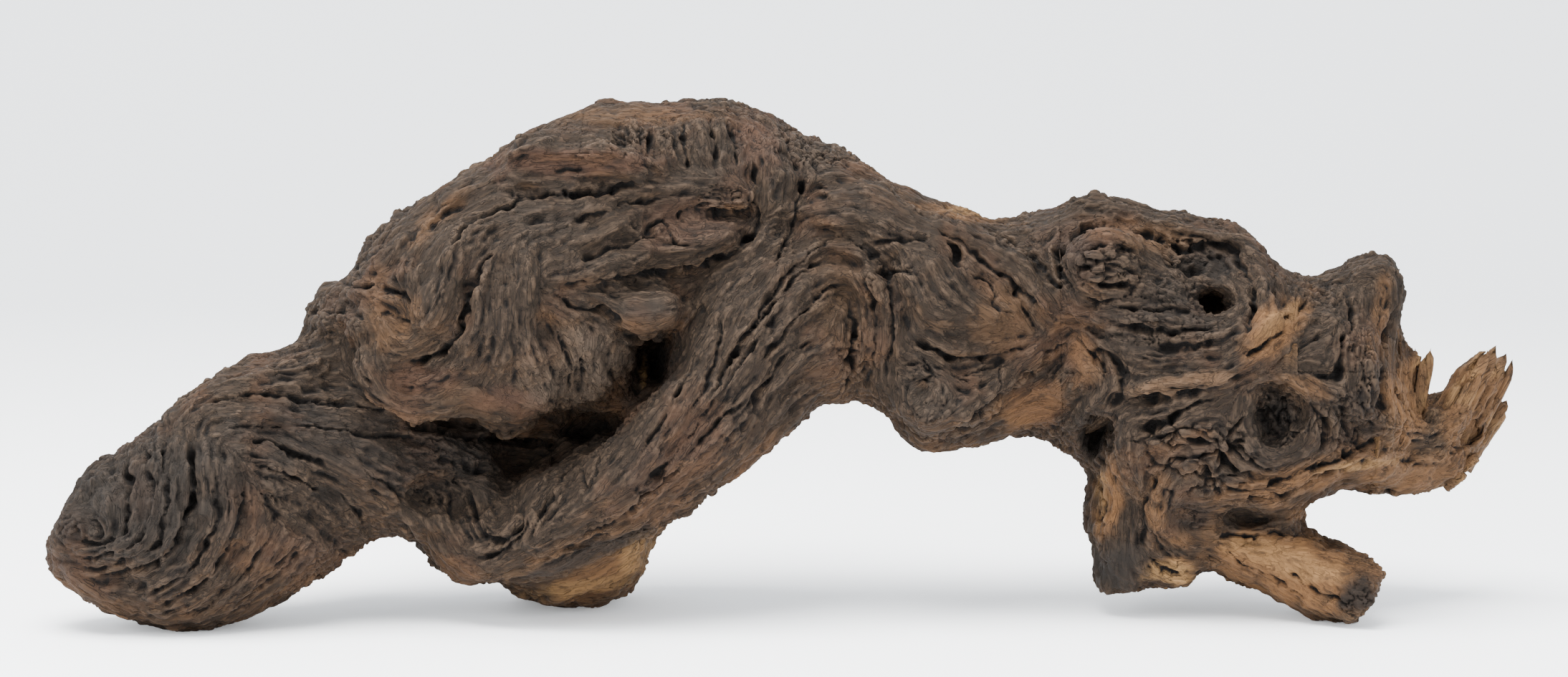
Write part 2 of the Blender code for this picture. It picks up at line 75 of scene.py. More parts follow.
# How finely the skin is made, and how far the solids swell so that they meet at the forks
SWELL = 0.95 * MM
SHRINK = 0.70 * MM
CLOSING = 1.5 * MM
FIRST_VOXEL = 1.9 * MM
FIRST_EASE = 3
SECOND_VOXEL = 1.5 * MM
TRIANGLES = 940000

# How far round the edge the two sides' forms blend, and their grains, as a share of facing
FRONT_BLEND = 0.28
GRAIN_BLEND = 0.25

rng = np.random.default_rng(7)


def photo_place(points):
    """Column and row of each point: its offsets from the sight axis over its distance along it."""
    from_eye = points - (AIM - FORWARD * VIEW_DISTANCE)
    away = from_eye @ FORWARD
    reach = VIEW_DISTANCE / PIXEL
    column = FRAME_COLUMNS / 2 + from_eye[:, 0] / away * reach
    row = FRAME_ROWS / 2 - (from_eye @ UPWARD) / away * reach
    return np.stack([column, row], axis=1)


def smoothstep(low, high, value):
    """0 below low, 1 above high, and 3t^2 - 2t^3 between them."""
    t = np.clip((value - low) / (high - low), 0.0, 1.0)
    return t * t * (3.0 - 2.0 * t)


# Ways across the photograph, as columns and rows

# Rolls: height in millimetres, half width in pixels, then the way
ROLLS = [
    (4.0, 19, [(690, 238), (750, 220), (830, 222), (890, 242), (930, 256)]),
    (2.0, 15, [(600, 300), (655, 268), (700, 250), (740, 248)]),
    (2.2, 18, [(640, 330), (622, 390), (606, 440), (575, 478), (548, 470), (530, 440)]),
    (2.4, 20, [(690, 350), (672, 400), (664, 450), (640, 500), (600, 530), (560, 535)]),
    (2.2, 22, [(512, 470), (515, 520), (545, 560), (600, 562), (650, 545), (700, 575)]),
    (1.6, 16, [(735, 350), (735, 420), (742, 480), (765, 530), (780, 570)]),
    (1.6, 18, [(822, 470), (830, 520), (850, 560), (890, 568)]),
    (2.2, 15, [(790, 345), (850, 318), (905, 292), (970, 280), (1030, 268)]),
    (2.4, 17, [(790, 385), (850, 362), (920, 350), (985, 338), (1040, 312)]),
    (1.6, 13, [(800, 300), (860, 276), (920, 262), (975, 262)]),
    (2.6, 14, [(975, 262), (1010, 262), (1045, 270), (1046, 292)]),
    (1.8, 14, [(700, 300), (755, 290), (800, 280)]),
    (2.6, 24, [(838, 418), (866, 428), (905, 432), (946, 430)]),
    (1.8, 14, [(882, 170), (886, 230)]),
    (1.8, 13, [(925, 172), (936, 232)]),
    (2.0, 13, [(965, 165), (985, 236)]),
    (2.0, 13, [(1002, 165), (1014, 232)]),
    (1.8, 12, [(1038, 180), (1040, 236)]),
    (2.4, 18, [(1078, 180), (1080, 240), (1076, 300), (1056, 350)]),
    (1.8, 15, [(1140, 275), (1190, 262), (1245, 278), (1300, 306)]),
    (2.0, 16, [(1120, 318), (1165, 294), (1215, 300), (1262, 318)]),
    (2.8, 13, [(1060, 420), (1110, 368), (1155, 346), (1195, 352), (1224, 392), (1234, 450)]),
    (2.6, 13, [(1010, 500), (1060, 450), (1110, 404), (1160, 378), (1200, 392), (1218, 450)]),
    (2.4, 12, [(960, 590), (1010, 540), (1060, 490), (1110, 445), (1150, 416), (1178, 420)]),
    (2.2, 11, [(1060, 300), (1120, 296), (1180, 300), (1226, 318), (1262, 372), (1268, 430)]),
    (2.0, 18, [(760, 745), (830, 700), (900, 640), (960, 570), (1000, 500)]),
    (2.0, 16, [(700, 786), (780, 748), (860, 712), (930, 668), (1000, 610), (1050, 560)]),
    (1.8, 14, [(850, 690), (910, 610), (950, 540), (985, 460), (1030, 390), (1070, 350)]),
    (3.8, 20, [(1288, 288), (1340, 318), (1390, 350), (1434, 388), (1462, 430), (1500, 458)]),
    (1.8, 15, [(1320, 345), (1335, 390), (1375, 425), (1415, 440)]),
    (1.8, 16, [(1262, 350), (1275, 400), (1300, 440), (1340, 450)]),
    (2.4, 22, [(1262, 500), (1290, 512), (1312, 540), (1300, 580), (1270, 590)]),
    (2.2, 18, [(1330, 585), (1375, 548), (1420, 512), (1462, 478)]),
    (1.6, 14, [(1300, 478), (1340, 490), (1390, 486), (1430, 474)]),
    (1.8, 15, [(1500, 512), (1535, 524), (1545, 560), (1520, 590)]),
    (3.0, 20, [(1465, 335), (1500, 298), (1560, 296), (1620, 314), (1690, 330), (1745, 352),
               (1775, 395), (1772, 440), (1748, 470)]),
    (1.6, 12, [(1500, 400), (1492, 362), (1522, 330), (1572, 332), (1600, 368)]),
    (1.6, 13, [(1560, 318), (1610, 348), (1660, 376)]),
    (1.6, 12, [(1590, 395), (1640, 420), (1672, 440)]),
    (1.8, 13, [(1550, 440), (1610, 446), (1680, 458), (1712, 448)]),
    (1.8, 15, [(1560, 492), (1620, 500), (1690, 498)]),
    (2.2, 14, [(1560, 548), (1620, 538), (1690, 534), (1730, 512), (1762, 500)]),
    (2.0, 15, [(1726, 494), (1762, 458), (1790, 430)]),
    (1.4, 12, [(1748, 516), (1780, 486), (1806, 462)]),
    (2.6, 13, [(1505, 462), (1530, 478), (1552, 510), (1556, 540), (1530, 566), (1508, 598)]),
    (2.0, 17, [(1905, 450), (1908, 510), (1915, 560)]),
    (2.2, 16, [(1880, 380), (1925, 372), (1942, 410), (1935, 460)]),
    (1.8, 14, [(1735, 545), (1742, 600), (1772, 636), (1815, 610), (1826, 566), (1800, 532),
               (1755, 530)]),
    (2.0, 17, [(1590, 585), (1640, 572), (1690, 556)]),
    (2.2, 18, [(1600, 630), (1650, 600), (1700, 596)]),
    (2.2, 19, [(1570, 600), (1572, 650), (1590, 690)]),
    (2.2, 20, [(1730, 590), (1742, 630), (1765, 655)]),
    (1.8, 15, [(1640, 660), (1670, 640), (1700, 660), (1690, 692)]),
    (2.0, 15, [(1700, 690), (1780, 682), (1850, 655), (1920, 625)]),
    (2.0, 14, [(1610, 690), (1606, 740), (1625, 770)]),
    (1.8, 14, [(1700, 715), (1790, 702), (1860, 672), (1950, 655), (2010, 655)]),
    (1.6, 12, [(1548, 640), (1552, 700), (1540, 750)]),
    (1.8, 13, [(1930, 590), (1960, 600), (2010, 600), (2055, 575)]),
    (1.8, 16, [(128, 660), (150, 700), (152, 735)]),
    (1.8, 12, [(90, 750), (115, 725), (150, 730), (160, 752)]),
    (2.0, 10, [(186, 620), (190, 700), (182, 745), (150, 768), (100, 768)]),
    (2.0, 11, [(214, 600), (218, 680), (212, 735), (180, 775), (120, 790)]),
    (2.2, 13, [(245, 590), (248, 680), (244, 740), (212, 785), (160, 802)]),
    (2.0, 13, [(284, 610), (288, 690), (280, 745), (245, 795), (190, 820)]),
    (2.0, 13, [(318, 650), (322, 710), (304, 765), (262, 812), (205, 842)]),
    (1.8, 14, [(355, 720), (340, 770), (298, 820), (250, 852)]),
    (2.0, 15, [(262, 585), (285, 550), (350, 530), (420, 515), (470, 505)]),
    (1.8, 12, [(300, 585), (370, 580), (440, 590), (520, 600)]),
    (2.2, 14, [(345, 640), (400, 650), (440, 672), (480, 720)]),
    (2.2, 15, [(390, 605), (450, 635), (510, 665), (560, 700)]),
    (1.6, 13, [(395, 715), (440, 740), (470, 775)]),
    (2.0, 12, [(480, 560), (540, 575), (600, 600), (660, 630)]),
    (1.8, 12, [(660, 700), (676, 742), (706, 742), (716, 712), (700, 700)]),
    (2.0, 16, [(650, 790), (700, 772), (735, 725), (765, 680), (800, 655)]),
    (1.8, 14, [(610, 700), (622, 745), (645, 785)]),
    (2.2, 15, [(440, 410), (478, 402), (505, 420)]),
    (2.0, 14, [(445, 450), (490, 445), (508, 480)]),
    (2.2, 16, [(515, 370), (545, 350), (565, 320)]),
    (1.8, 14, [(560, 400), (572, 350), (600, 312)]),
]

# Cracks: depth in millimetres, half width in pixels, then the way
CRACKS = [
    (4.2, 6, [(700, 345), (672, 372), (656, 405), (648, 442), (626, 480), (598, 500), (558, 513)]),
    (3.0, 5, [(762, 268), (720, 280), (680, 296), (650, 312), (628, 345)]),
    (4.8, 7, [(700, 268), (735, 272), (790, 272), (850, 262), (900, 262)]),
    (3.0, 5, [(500, 396), (540, 402), (566, 418), (572, 440)]),
    (2.2, 4, [(532, 434), (555, 446), (575, 452)]),
    (2.6, 5, [(768, 446), (782, 480), (796, 515), (800, 555)]),
    (2.0, 4, [(806, 480), (812, 512), (814, 545)]),
    (2.0, 4, [(850, 470), (856, 520), (874, 556)]),
    (3.2, 6, [(766, 405), (800, 425), (850, 440), (870, 456)]),
    (3.6, 6, [(775, 402), (850, 392), (930, 380), (990, 368), (1040, 345)]),
    (2.2, 4, [(795, 372), (850, 345), (900, 332), (925, 335)]),
    (2.0, 3.5, [(905, 332), (910, 312), (925, 306), (935, 325), (945, 342), (980, 345)]),
    (3.4, 7, [(985, 292), (1015, 298), (1050, 294)]),
    (2.4, 4, [(760, 325), (830, 300), (890, 282), (960, 268)]),
    (2.2, 4, [(1000, 285), (960, 290), (940, 310)]),
    (3.2, 5, [(1052, 215), (1054, 270), (1052, 320), (1030, 350)]),
    (3.6, 6, [(1122, 240), (1110, 285), (1104, 325), (1075, 372)]),
    (2.4, 4, [(905, 176), (912, 236)]),
    (2.4, 4, [(950, 168), (962, 236)]),
    (2.6, 4, [(990, 160), (1002, 228)]),
    (2.4, 4, [(1024, 170), (1030, 235)]),
    (2.6, 5, [(1100, 172), (1102, 215), (1118, 238)]),
    (2.2, 4, [(1140, 318), (1190, 335), (1215, 352)]),
    (2.6, 5, [(1210, 338), (1250, 335), (1300, 330)]),
    (2.8, 5, [(1218, 376), (1250, 380), (1278, 384)]),
    (3.6, 7, [(1322, 335), (1334, 352), (1346, 378)]),
    (2.2, 4, [(1346, 378), (1380, 398), (1400, 430), (1425, 445)]),
    (4.0, 5, [(1186, 430), (1192, 470), (1186, 511), (1180, 552)]),
    (3.0, 4, [(1218, 329), (1169, 332), (1127, 358), (1085, 404), (1040, 470), (1000, 530)]),
    (3.0, 4, [(1180, 366), (1148, 366), (1108, 390), (1070, 436), (1028, 492), (984, 560)]),
    (2.8, 4, [(1190, 396), (1160, 398), (1130, 424), (1092, 468), (1060, 512)]),
    (3.0, 4, [(1206, 341), (1232, 372), (1246, 420), (1244, 475), (1232, 530)]),
    (2.6, 4, [(1198, 380), (1212, 412), (1222, 460), (1216, 520)]),
    (2.8, 5, [(1300, 318), (1344, 343), (1385, 376), (1428, 412), (1456, 440)]),
    (2.4, 5, [(1368, 310), (1420, 342), (1456, 372), (1486, 415)]),
    (2.6, 4, [(1286, 500), (1300, 522), (1276, 540)]),
    (2.6, 4, [(1300, 508), (1330, 524), (1352, 536)]),
    (2.6, 4, [(1250, 580), (1282, 612), (1318, 622)]),
    (2.6, 4, [(1735, 508), (1776, 470), (1810, 436), (1836, 408)]),
    (2.4, 4, [(1762, 522), (1808, 488), (1848, 460)]),
    (2.8, 4, [(1500, 470), (1524, 492), (1540, 520), (1534, 548)]),
    (2.4, 4, [(1060, 588), (1064, 548), (1090, 508), (1115, 482), (1140, 470)]),
    (2.4, 4, [(1002, 440), (1006, 478), (988, 532), (962, 575)]),
    (2.4, 4, [(960, 640), (990, 600), (1010, 580), (1030, 568)]),
    (3.8, 5, [(810, 746), (852, 735), (900, 700), (945, 662), (962, 642)]),
    (2.4, 4, [(812, 690), (830, 660), (838, 632)]),
    (2.0, 4, [(815, 690), (812, 655), (818, 640)]),
    (2.2, 4, [(880, 650), (920, 590), (950, 535), (975, 480)]),
    (2.2, 4, [(900, 690), (960, 610), (1010, 540), (1060, 470), (1110, 410)]),
    (4.4, 6, [(1302, 612), (1345, 600), (1376, 580), (1402, 548), (1450, 512), (1492, 466)]),
    (3.0, 5, [(1270, 470), (1290, 480), (1320, 498), (1360, 502), (1392, 496), (1440, 480)]),
    (2.4, 4, [(1252, 508), (1285, 512), (1312, 530), (1316, 560)]),
    (2.6, 5, [(1415, 400), (1432, 435), (1452, 470)]),
    (2.2, 4, [(1340, 525), (1380, 515), (1410, 498)]),
    (2.0, 4, [(1395, 505), (1398, 540)]),
    (4.4, 7, [(1556, 302), (1600, 328), (1650, 344), (1706, 346), (1738, 378), (1750, 420),
              (1744, 452), (1726, 482)]),
    (4.0, 6, [(1510, 420), (1482, 392), (1480, 352), (1506, 322), (1546, 310)]),
    (2.6, 5, [(1508, 350), (1550, 344), (1590, 352)]),
    (2.6, 5, [(1500, 378), (1548, 372), (1594, 384)]),
    (2.4, 5, [(1512, 398), (1550, 398), (1580, 408)]),
    (3.0, 5, [(1510, 412), (1535, 422), (1575, 412), (1600, 380)]),
    (3.4, 6, [(1552, 456), (1600, 460), (1650, 464), (1700, 452)]),
    (3.0, 5, [(1556, 428), (1620, 432), (1670, 440)]),
    (3.0, 6, [(1620, 350), (1650, 372), (1690, 382)]),
    (3.2, 6, [(1600, 478), (1650, 482), (1700, 474)]),
    (3.0, 5, [(1520, 488), (1560, 510), (1562, 545), (1544, 575)]),
    (2.6, 5, [(1555, 560), (1620, 556), (1680, 548), (1726, 530), (1752, 512)]),
    (3.0, 5, [(1802, 508), (1842, 524), (1868, 524), (1874, 486), (1888, 448), (1884, 408)]),
    (2.6, 5, [(1952, 425), (1936, 470), (1940, 520)]),
    (3.2, 6, [(1928, 470), (1930, 530), (1936, 580)]),
    (3.4, 5, [(1588, 606), (1622, 590), (1660, 568), (1705, 552)]),
    (3.6, 5, [(1598, 612), (1640, 610), (1690, 620), (1722, 606), (1746, 575)]),
    (3.2, 5, [(1602, 690), (1624, 655), (1650, 636), (1700, 640), (1722, 658), (1762, 668)]),
    (3.0, 5, [(1700, 590), (1716, 622), (1738, 646), (1776, 662)]),
    (2.8, 5, [(1660, 640), (1690, 670), (1700, 700)]),
    (3.8, 6, [(1690, 688), (1760, 682), (1826, 655), (1900, 625), (1945, 608)]),
    (3.2, 5, [(1700, 704), (1790, 690), (1850, 665), (1930, 642)]),
    (3.0, 6, [(1700, 750), (1760, 746), (1830, 745)]),
    (2.6, 5, [(1830, 560), (1850, 590), (1850, 625)]),
    (2.4, 5, [(1870, 565), (1880, 600), (1905, 625)]),
    (2.4, 4, [(1795, 802), (1840, 830), (1880, 846)]),
    (2.0, 4, [(1700, 765), (1760, 800), (1830, 842)]),
    (2.6, 5, [(1598, 690), (1592, 740), (1600, 770)]),
    (2.4, 4, [(1526, 640), (1540, 700), (1530, 750)]),
    (2.2, 4, [(1600, 772), (1622, 800), (1660, 806)]),
    (3.0, 5, [(1950, 540), (1962, 580), (1955, 620)]),
    (2.4, 4, [(2000, 625), (2040, 620), (2060, 612)]),
    (3.2, 5, [(174, 632), (180, 690), (178, 726), (160, 752), (120, 758), (92, 752)]),
    (2.0, 4, [(100, 742), (112, 728), (132, 732), (138, 748), (118, 752)]),
    (2.6, 4, [(202, 604), (205, 660), (204, 722), (184, 760), (140, 778), (84, 776)]),
    (2.6, 4, [(230, 588), (232, 650), (232, 712), (214, 760), (180, 786), (112, 798)]),
    (4.2, 5, [(262, 600), (268, 650), (268, 700), (258, 742), (228, 780), (190, 800), (130, 806)]),
    (2.4, 4, [(300, 640), (304, 700), (292, 752), (256, 802), (196, 832)]),
    (2.2, 4, [(336, 656), (342, 706), (322, 764), (276, 818), (222, 852)]),
    (2.0, 4, [(384, 735), (352, 790), (304, 836), (262, 862)]),
    (2.0, 4, [(430, 760), (380, 812), (320, 852)]),
    (3.2, 5, [(348, 612), (372, 616), (400, 630), (430, 640), (462, 652)]),
    (3.4, 5, [(352, 650), (402, 662), (432, 674), (456, 690)]),
    (3.2, 5, [(500, 648), (524, 668), (556, 690), (580, 702)]),
    (2.6, 4, [(262, 580), (290, 562), (350, 552), (430, 556), (500, 560)]),
    (2.6, 4, [(400, 592), (450, 598), (520, 606), (600, 612)]),
    (2.6, 4, [(430, 560), (480, 562), (540, 572)]),
    (2.4, 4, [(300, 600), (350, 592), (400, 600)]),
    (2.2, 4, [(310, 530), (370, 515), (440, 500)]),
    (3.4, 7, [(560, 590), (620, 600), (680, 612), (740, 606)]),
    (3.6, 7, [(600, 640), (640, 650), (690, 650)]),
    (3.4, 6, [(655, 690), (664, 735), (690, 756), (722, 740), (728, 705)]),
    (2.6, 4, [(655, 775), (700, 768), (728, 745), (742, 705)]),
    (2.4, 4, [(800, 650), (760, 700), (735, 760)]),
    (2.4, 5, [(470, 690), (500, 715), (510, 740)]),
    (2.4, 5, [(430, 440), (470, 430), (505, 440)]),
    (2.4, 5, [(500, 470), (502, 510), (520, 545)]),
]

# Ways that only lead the grain
LEADS = [
    [(285, 520), (350, 512), (420, 492), (460, 470)],
    [(100, 790), (150, 835), (220, 865), (260, 875)],
    [(110, 700), (120, 660), (150, 640)],
    [(480, 620), (540, 640), (600, 655), (660, 668)],
    [(590, 740), (610, 780), (650, 800)],
    [(545, 700), (575, 730), (590, 755)],
    [(440, 700), (480, 740), (500, 750)],
    [(700, 805), (780, 765), (860, 740), (940, 700), (1010, 645), (1050, 600)],
    [(1060, 600), (1090, 570), (1130, 540), (1175, 540)],
    [(1000, 640), (1040, 590), (1080, 545), (1130, 510), (1170, 500)],
    [(800, 640), (850, 600), (890, 560), (930, 500), (960, 440), (1000, 390), (1040, 350)],
    [(700, 350), (698, 420), (692, 490), (670, 540)],
    [(830, 150), (900, 156), (980, 146), (1060, 152)],
    [(520, 360), (545, 325), (580, 296)],
    [(600, 290), (650, 250), (700, 215), (760, 190), (820, 165)],
    [(1130, 200), (1170, 205), (1210, 230), (1260, 265)],
    [(1080, 160), (1110, 185), (1130, 220)],
    [(1300, 282), (1360, 298), (1430, 305)],
    [(1240, 540), (1250, 590), (1300, 620), (1370, 600)],
    [(1380, 590), (1430, 570), (1480, 560)],
    [(1450, 300), (1540, 290), (1640, 310), (1720, 330), (1780, 370)],
    [(1600, 395), (1650, 420), (1700, 430)],
    [(1640, 330), (1690, 345), (1725, 375)],
    [(1560, 470), (1620, 472), (1700, 470)],
    [(1830, 395), (1870, 385), (1920, 360)],
    [(1958, 380), (1962, 430), (1955, 480)],
    [(1955, 500), (1970, 545), (1985, 590)],
    [(2000, 600), (2030, 550), (2060, 515), (2100, 495)],
    [(2005, 620), (2050, 590), (2080, 550), (2105, 515)],
    [(2020, 650), (2060, 600), (2095, 565)],
    [(1900, 670), (1960, 665), (2020, 665)],
    [(1700, 760), (1780, 790), (1850, 830), (1890, 850)],
    [(1720, 752), (1800, 765), (1880, 780), (1925, 795)],
    [(1520, 640), (1530, 700), (1525, 750)],
    [(1550, 690), (1555, 740), (1545, 800)],
    [(1610, 780), (1635, 800), (1660, 795)],
    [(715, 812), (780, 802), (850, 780), (910, 745)],
    [(730, 828), (800, 825), (860, 815), (900, 790)],
    [(720, 800), (790, 770), (860, 745), (930, 715)],
    [(1790, 530), (1830, 545), (1860, 560)],
]

# Ways of the grain on the far side, which the photograph doesn't show
REAR_LEADS = [
    [(80, 760), (160, 700), (260, 620), (380, 560), (500, 520), (600, 450), (700, 360)],
    [(100, 810), (200, 790), (300, 740), (420, 690), (540, 680), (640, 700)],
    [(420, 450), (520, 400), (640, 300), (760, 220), (900, 180), (1040, 190)],
    [(520, 520), (640, 460), (760, 420), (880, 430), (980, 500), (1060, 560)],
    [(640, 640), (760, 600), (880, 560), (980, 480), (1060, 400), (1120, 300)],
    [(700, 780), (800, 740), (900, 700), (960, 640)],
    [(1040, 240), (1160, 260), (1280, 320), (1400, 360), (1500, 350)],
    [(1100, 420), (1200, 440), (1300, 480), (1400, 470), (1480, 420)],
    [(1180, 540), (1260, 590), (1340, 590), (1420, 560), (1500, 530)],
    [(1500, 320), (1600, 320), (1700, 350), (1780, 410), (1800, 480)],
    [(1520, 440), (1620, 400), (1700, 430), (1700, 500), (1620, 530), (1540, 510)],
    [(1540, 600), (1640, 620), (1760, 610), (1880, 580), (1980, 590), (2080, 560)],
    [(1540, 780), (1580, 720), (1640, 680), (1740, 670), (1860, 650)],
    [(1840, 440), (1880, 400), (1930, 370)],
    [(1700, 750), (1800, 790), (1900, 830)],
]

# The far side's folds, and ridges between them: depth or height in millimetres, half width in
# pixels, then the way
REAR_FOLDS = [(4.6, 13, way) for way in REAR_LEADS]
REAR_RIDGES = [(2.4, 17, [(column + 8, row + 36) for column, row in way]) for way in REAR_LEADS]

# Knots and swirls: column, row, outer radius in pixels, height of the rings in millimetres and
# how many there are
KNOTS = [
    (104, 742, 52, 0.8, 4),
    (888, 314, 13, 1.4, 1),
    (925, 328, 24, 0.8, 2),
    (965, 302, 24, 0.7, 2),
    (1846, 412, 28, 0.9, 2),
    (1080, 322, 15, 0.9, 1),
    (1770, 786, 9, 0.6, 1),
]
REAR_KNOTS = [
    (620, 420, 60, 1.0, 4),
    (900, 470, 50, 1.0, 3),
    (1300, 470, 60, 1.0, 4),
    (1600, 430, 80, 1.2, 5),
    (300, 690, 50, 0.9, 3),
    (1720, 560, 50, 1.0, 3),
]

# Hollows: column, row, half width, half height and turn (pixels and degrees), depth in millimetres
HOLLOWS = [
    (922, 504, 18, 42, -8, 12),
    (888, 506, 9, 36, 0, 10),
    (834, 602, 50, 22, -6, 14),
    (640, 592, 58, 11, 6, 9),
    (728, 616, 40, 8, 4, 8),
    (1693, 424, 20, 22, -20, 12),
    (1690, 366, 30, 18, 20, 5),
    (1784, 584, 26, 34, -10, -9),
    (614, 688, 34, 22, 8, -4),
    (826, 524, 38, 42, 0, -4),
    (1536, 600, 20, 14, -24, 9),
    (1520, 622, 12, 26, 22, 8),
    (1664, 724, 24, 18, 10, 3),
    (1336, 350, 6, 13, -20, 7),
    (760, 460, 14, 16, 0, 6),
    (456, 688, 12, 8, 30, 6),
    (370, 686, 12, 7, 0, 3),
    (164, 742, 7, 5, 0, 3.5),
    (292, 560, 9, 9, 0, 3),
    (1278, 546, 8, 8, 0, 5),
    (1303, 564, 16, 8, 10, 3.5),
    (1984, 566, 5, 30, -10, 14),
    (2048, 604, 20, 9, -38, 12),
    (1950, 618, 6, 7, 0, 6),
    (1846, 412, 11, 10, 0, 3),
    (1740, 722, 26, 10, 0, 8),
    (1080, 322, 5, 4, 0, 2),
    (740, 262, 24, 6, 4, 5),
    (1030, 298, 22, 6, 0, 6),
    (640, 648, 44, 5, 8, 3),
    (1252, 366, 22, 10, 10, 3),
]

# Where the wood has cracked into chunks: column, row, half width and half height in pixels, then
# the size of the chunks and the depth between them in millimetres
BLOCKS = [
    (1545, 376, 60, 50, 5.6, 2.2),
    (1640, 430, 90, 56, 3.4, 1.2),
    (1665, 352, 60, 24, 3.8, 1.8),
    (1600, 465, 80, 22, 3.2, 1.0),
    (1885, 590, 56, 50, 4.0, 1.9),
    (1672, 640, 104, 60, 9.5, 2.8),
    (1784, 584, 34, 42, 3.6, 3.4),
    (614, 680, 50, 30, 4.0, 1.6),
    (1905, 505, 24, 56, 3.6, 1.5),
    (1302, 574, 30, 22, 3.2, 1.3),
    (1190, 485, 26, 60, 4.0, 1.1),
    (1245, 385, 50, 24, 4.6, 1.2),
    (1150, 195, 76, 46, 4.4, 2.4),
    (890, 196, 60, 34, 3.8, 1.2),
    (1010, 278, 46, 26, 3.4, 1.4),
    (1664, 722, 30, 22, 3.2, 1.3),
    (1893, 830, 36, 42, 3.4, 1.6),
    (1846, 410, 30, 24, 3.6, 1.3),
    (480, 430, 40, 36, 4.6, 1.1),
    (360, 680, 60, 44, 4.4, 0.9),
    (640, 625, 80, 30, 3.8, 1.2),
]

# Ledges: height in millimetres, half width in pixels, how far back it slopes, and the way, whose
# right-hand side is the raised one
LEDGES = [
    (4.0, 4, 70, [(760, 612), (700, 602), (676, 576), (640, 570), (600, 578), (545, 566), (512, 520),
                  (502, 470)]),
    (3.0, 4, 40, [(1052, 298), (1010, 300), (975, 296)]),
    (2.4, 4, 50, [(960, 250), (900, 236), (840, 226), (760, 226), (700, 240)]),
    (3.0, 4, 50, [(1492, 468), (1450, 514), (1402, 550), (1376, 582), (1330, 606)]),
    (2.4, 4, 50, [(1040, 350), (990, 372), (930, 384), (850, 396), (775, 404)]),
    (2.6, 4, 50, [(1548, 455), (1500, 448), (1460, 470)]),
    (3.2, 4, 46, [(800, 634), (830, 640), (870, 600), (905, 565), (935, 545), (940, 510)]),
    (3.6, 4, 34, [(976, 408), (954, 444), (924, 464), (890, 464), (860, 450), (832, 424), (806, 404)]),
    (2.6, 4, 40, [(1100, 372), (1140, 344), (1185, 338), (1222, 370), (1252, 430), (1254, 490)]),
]
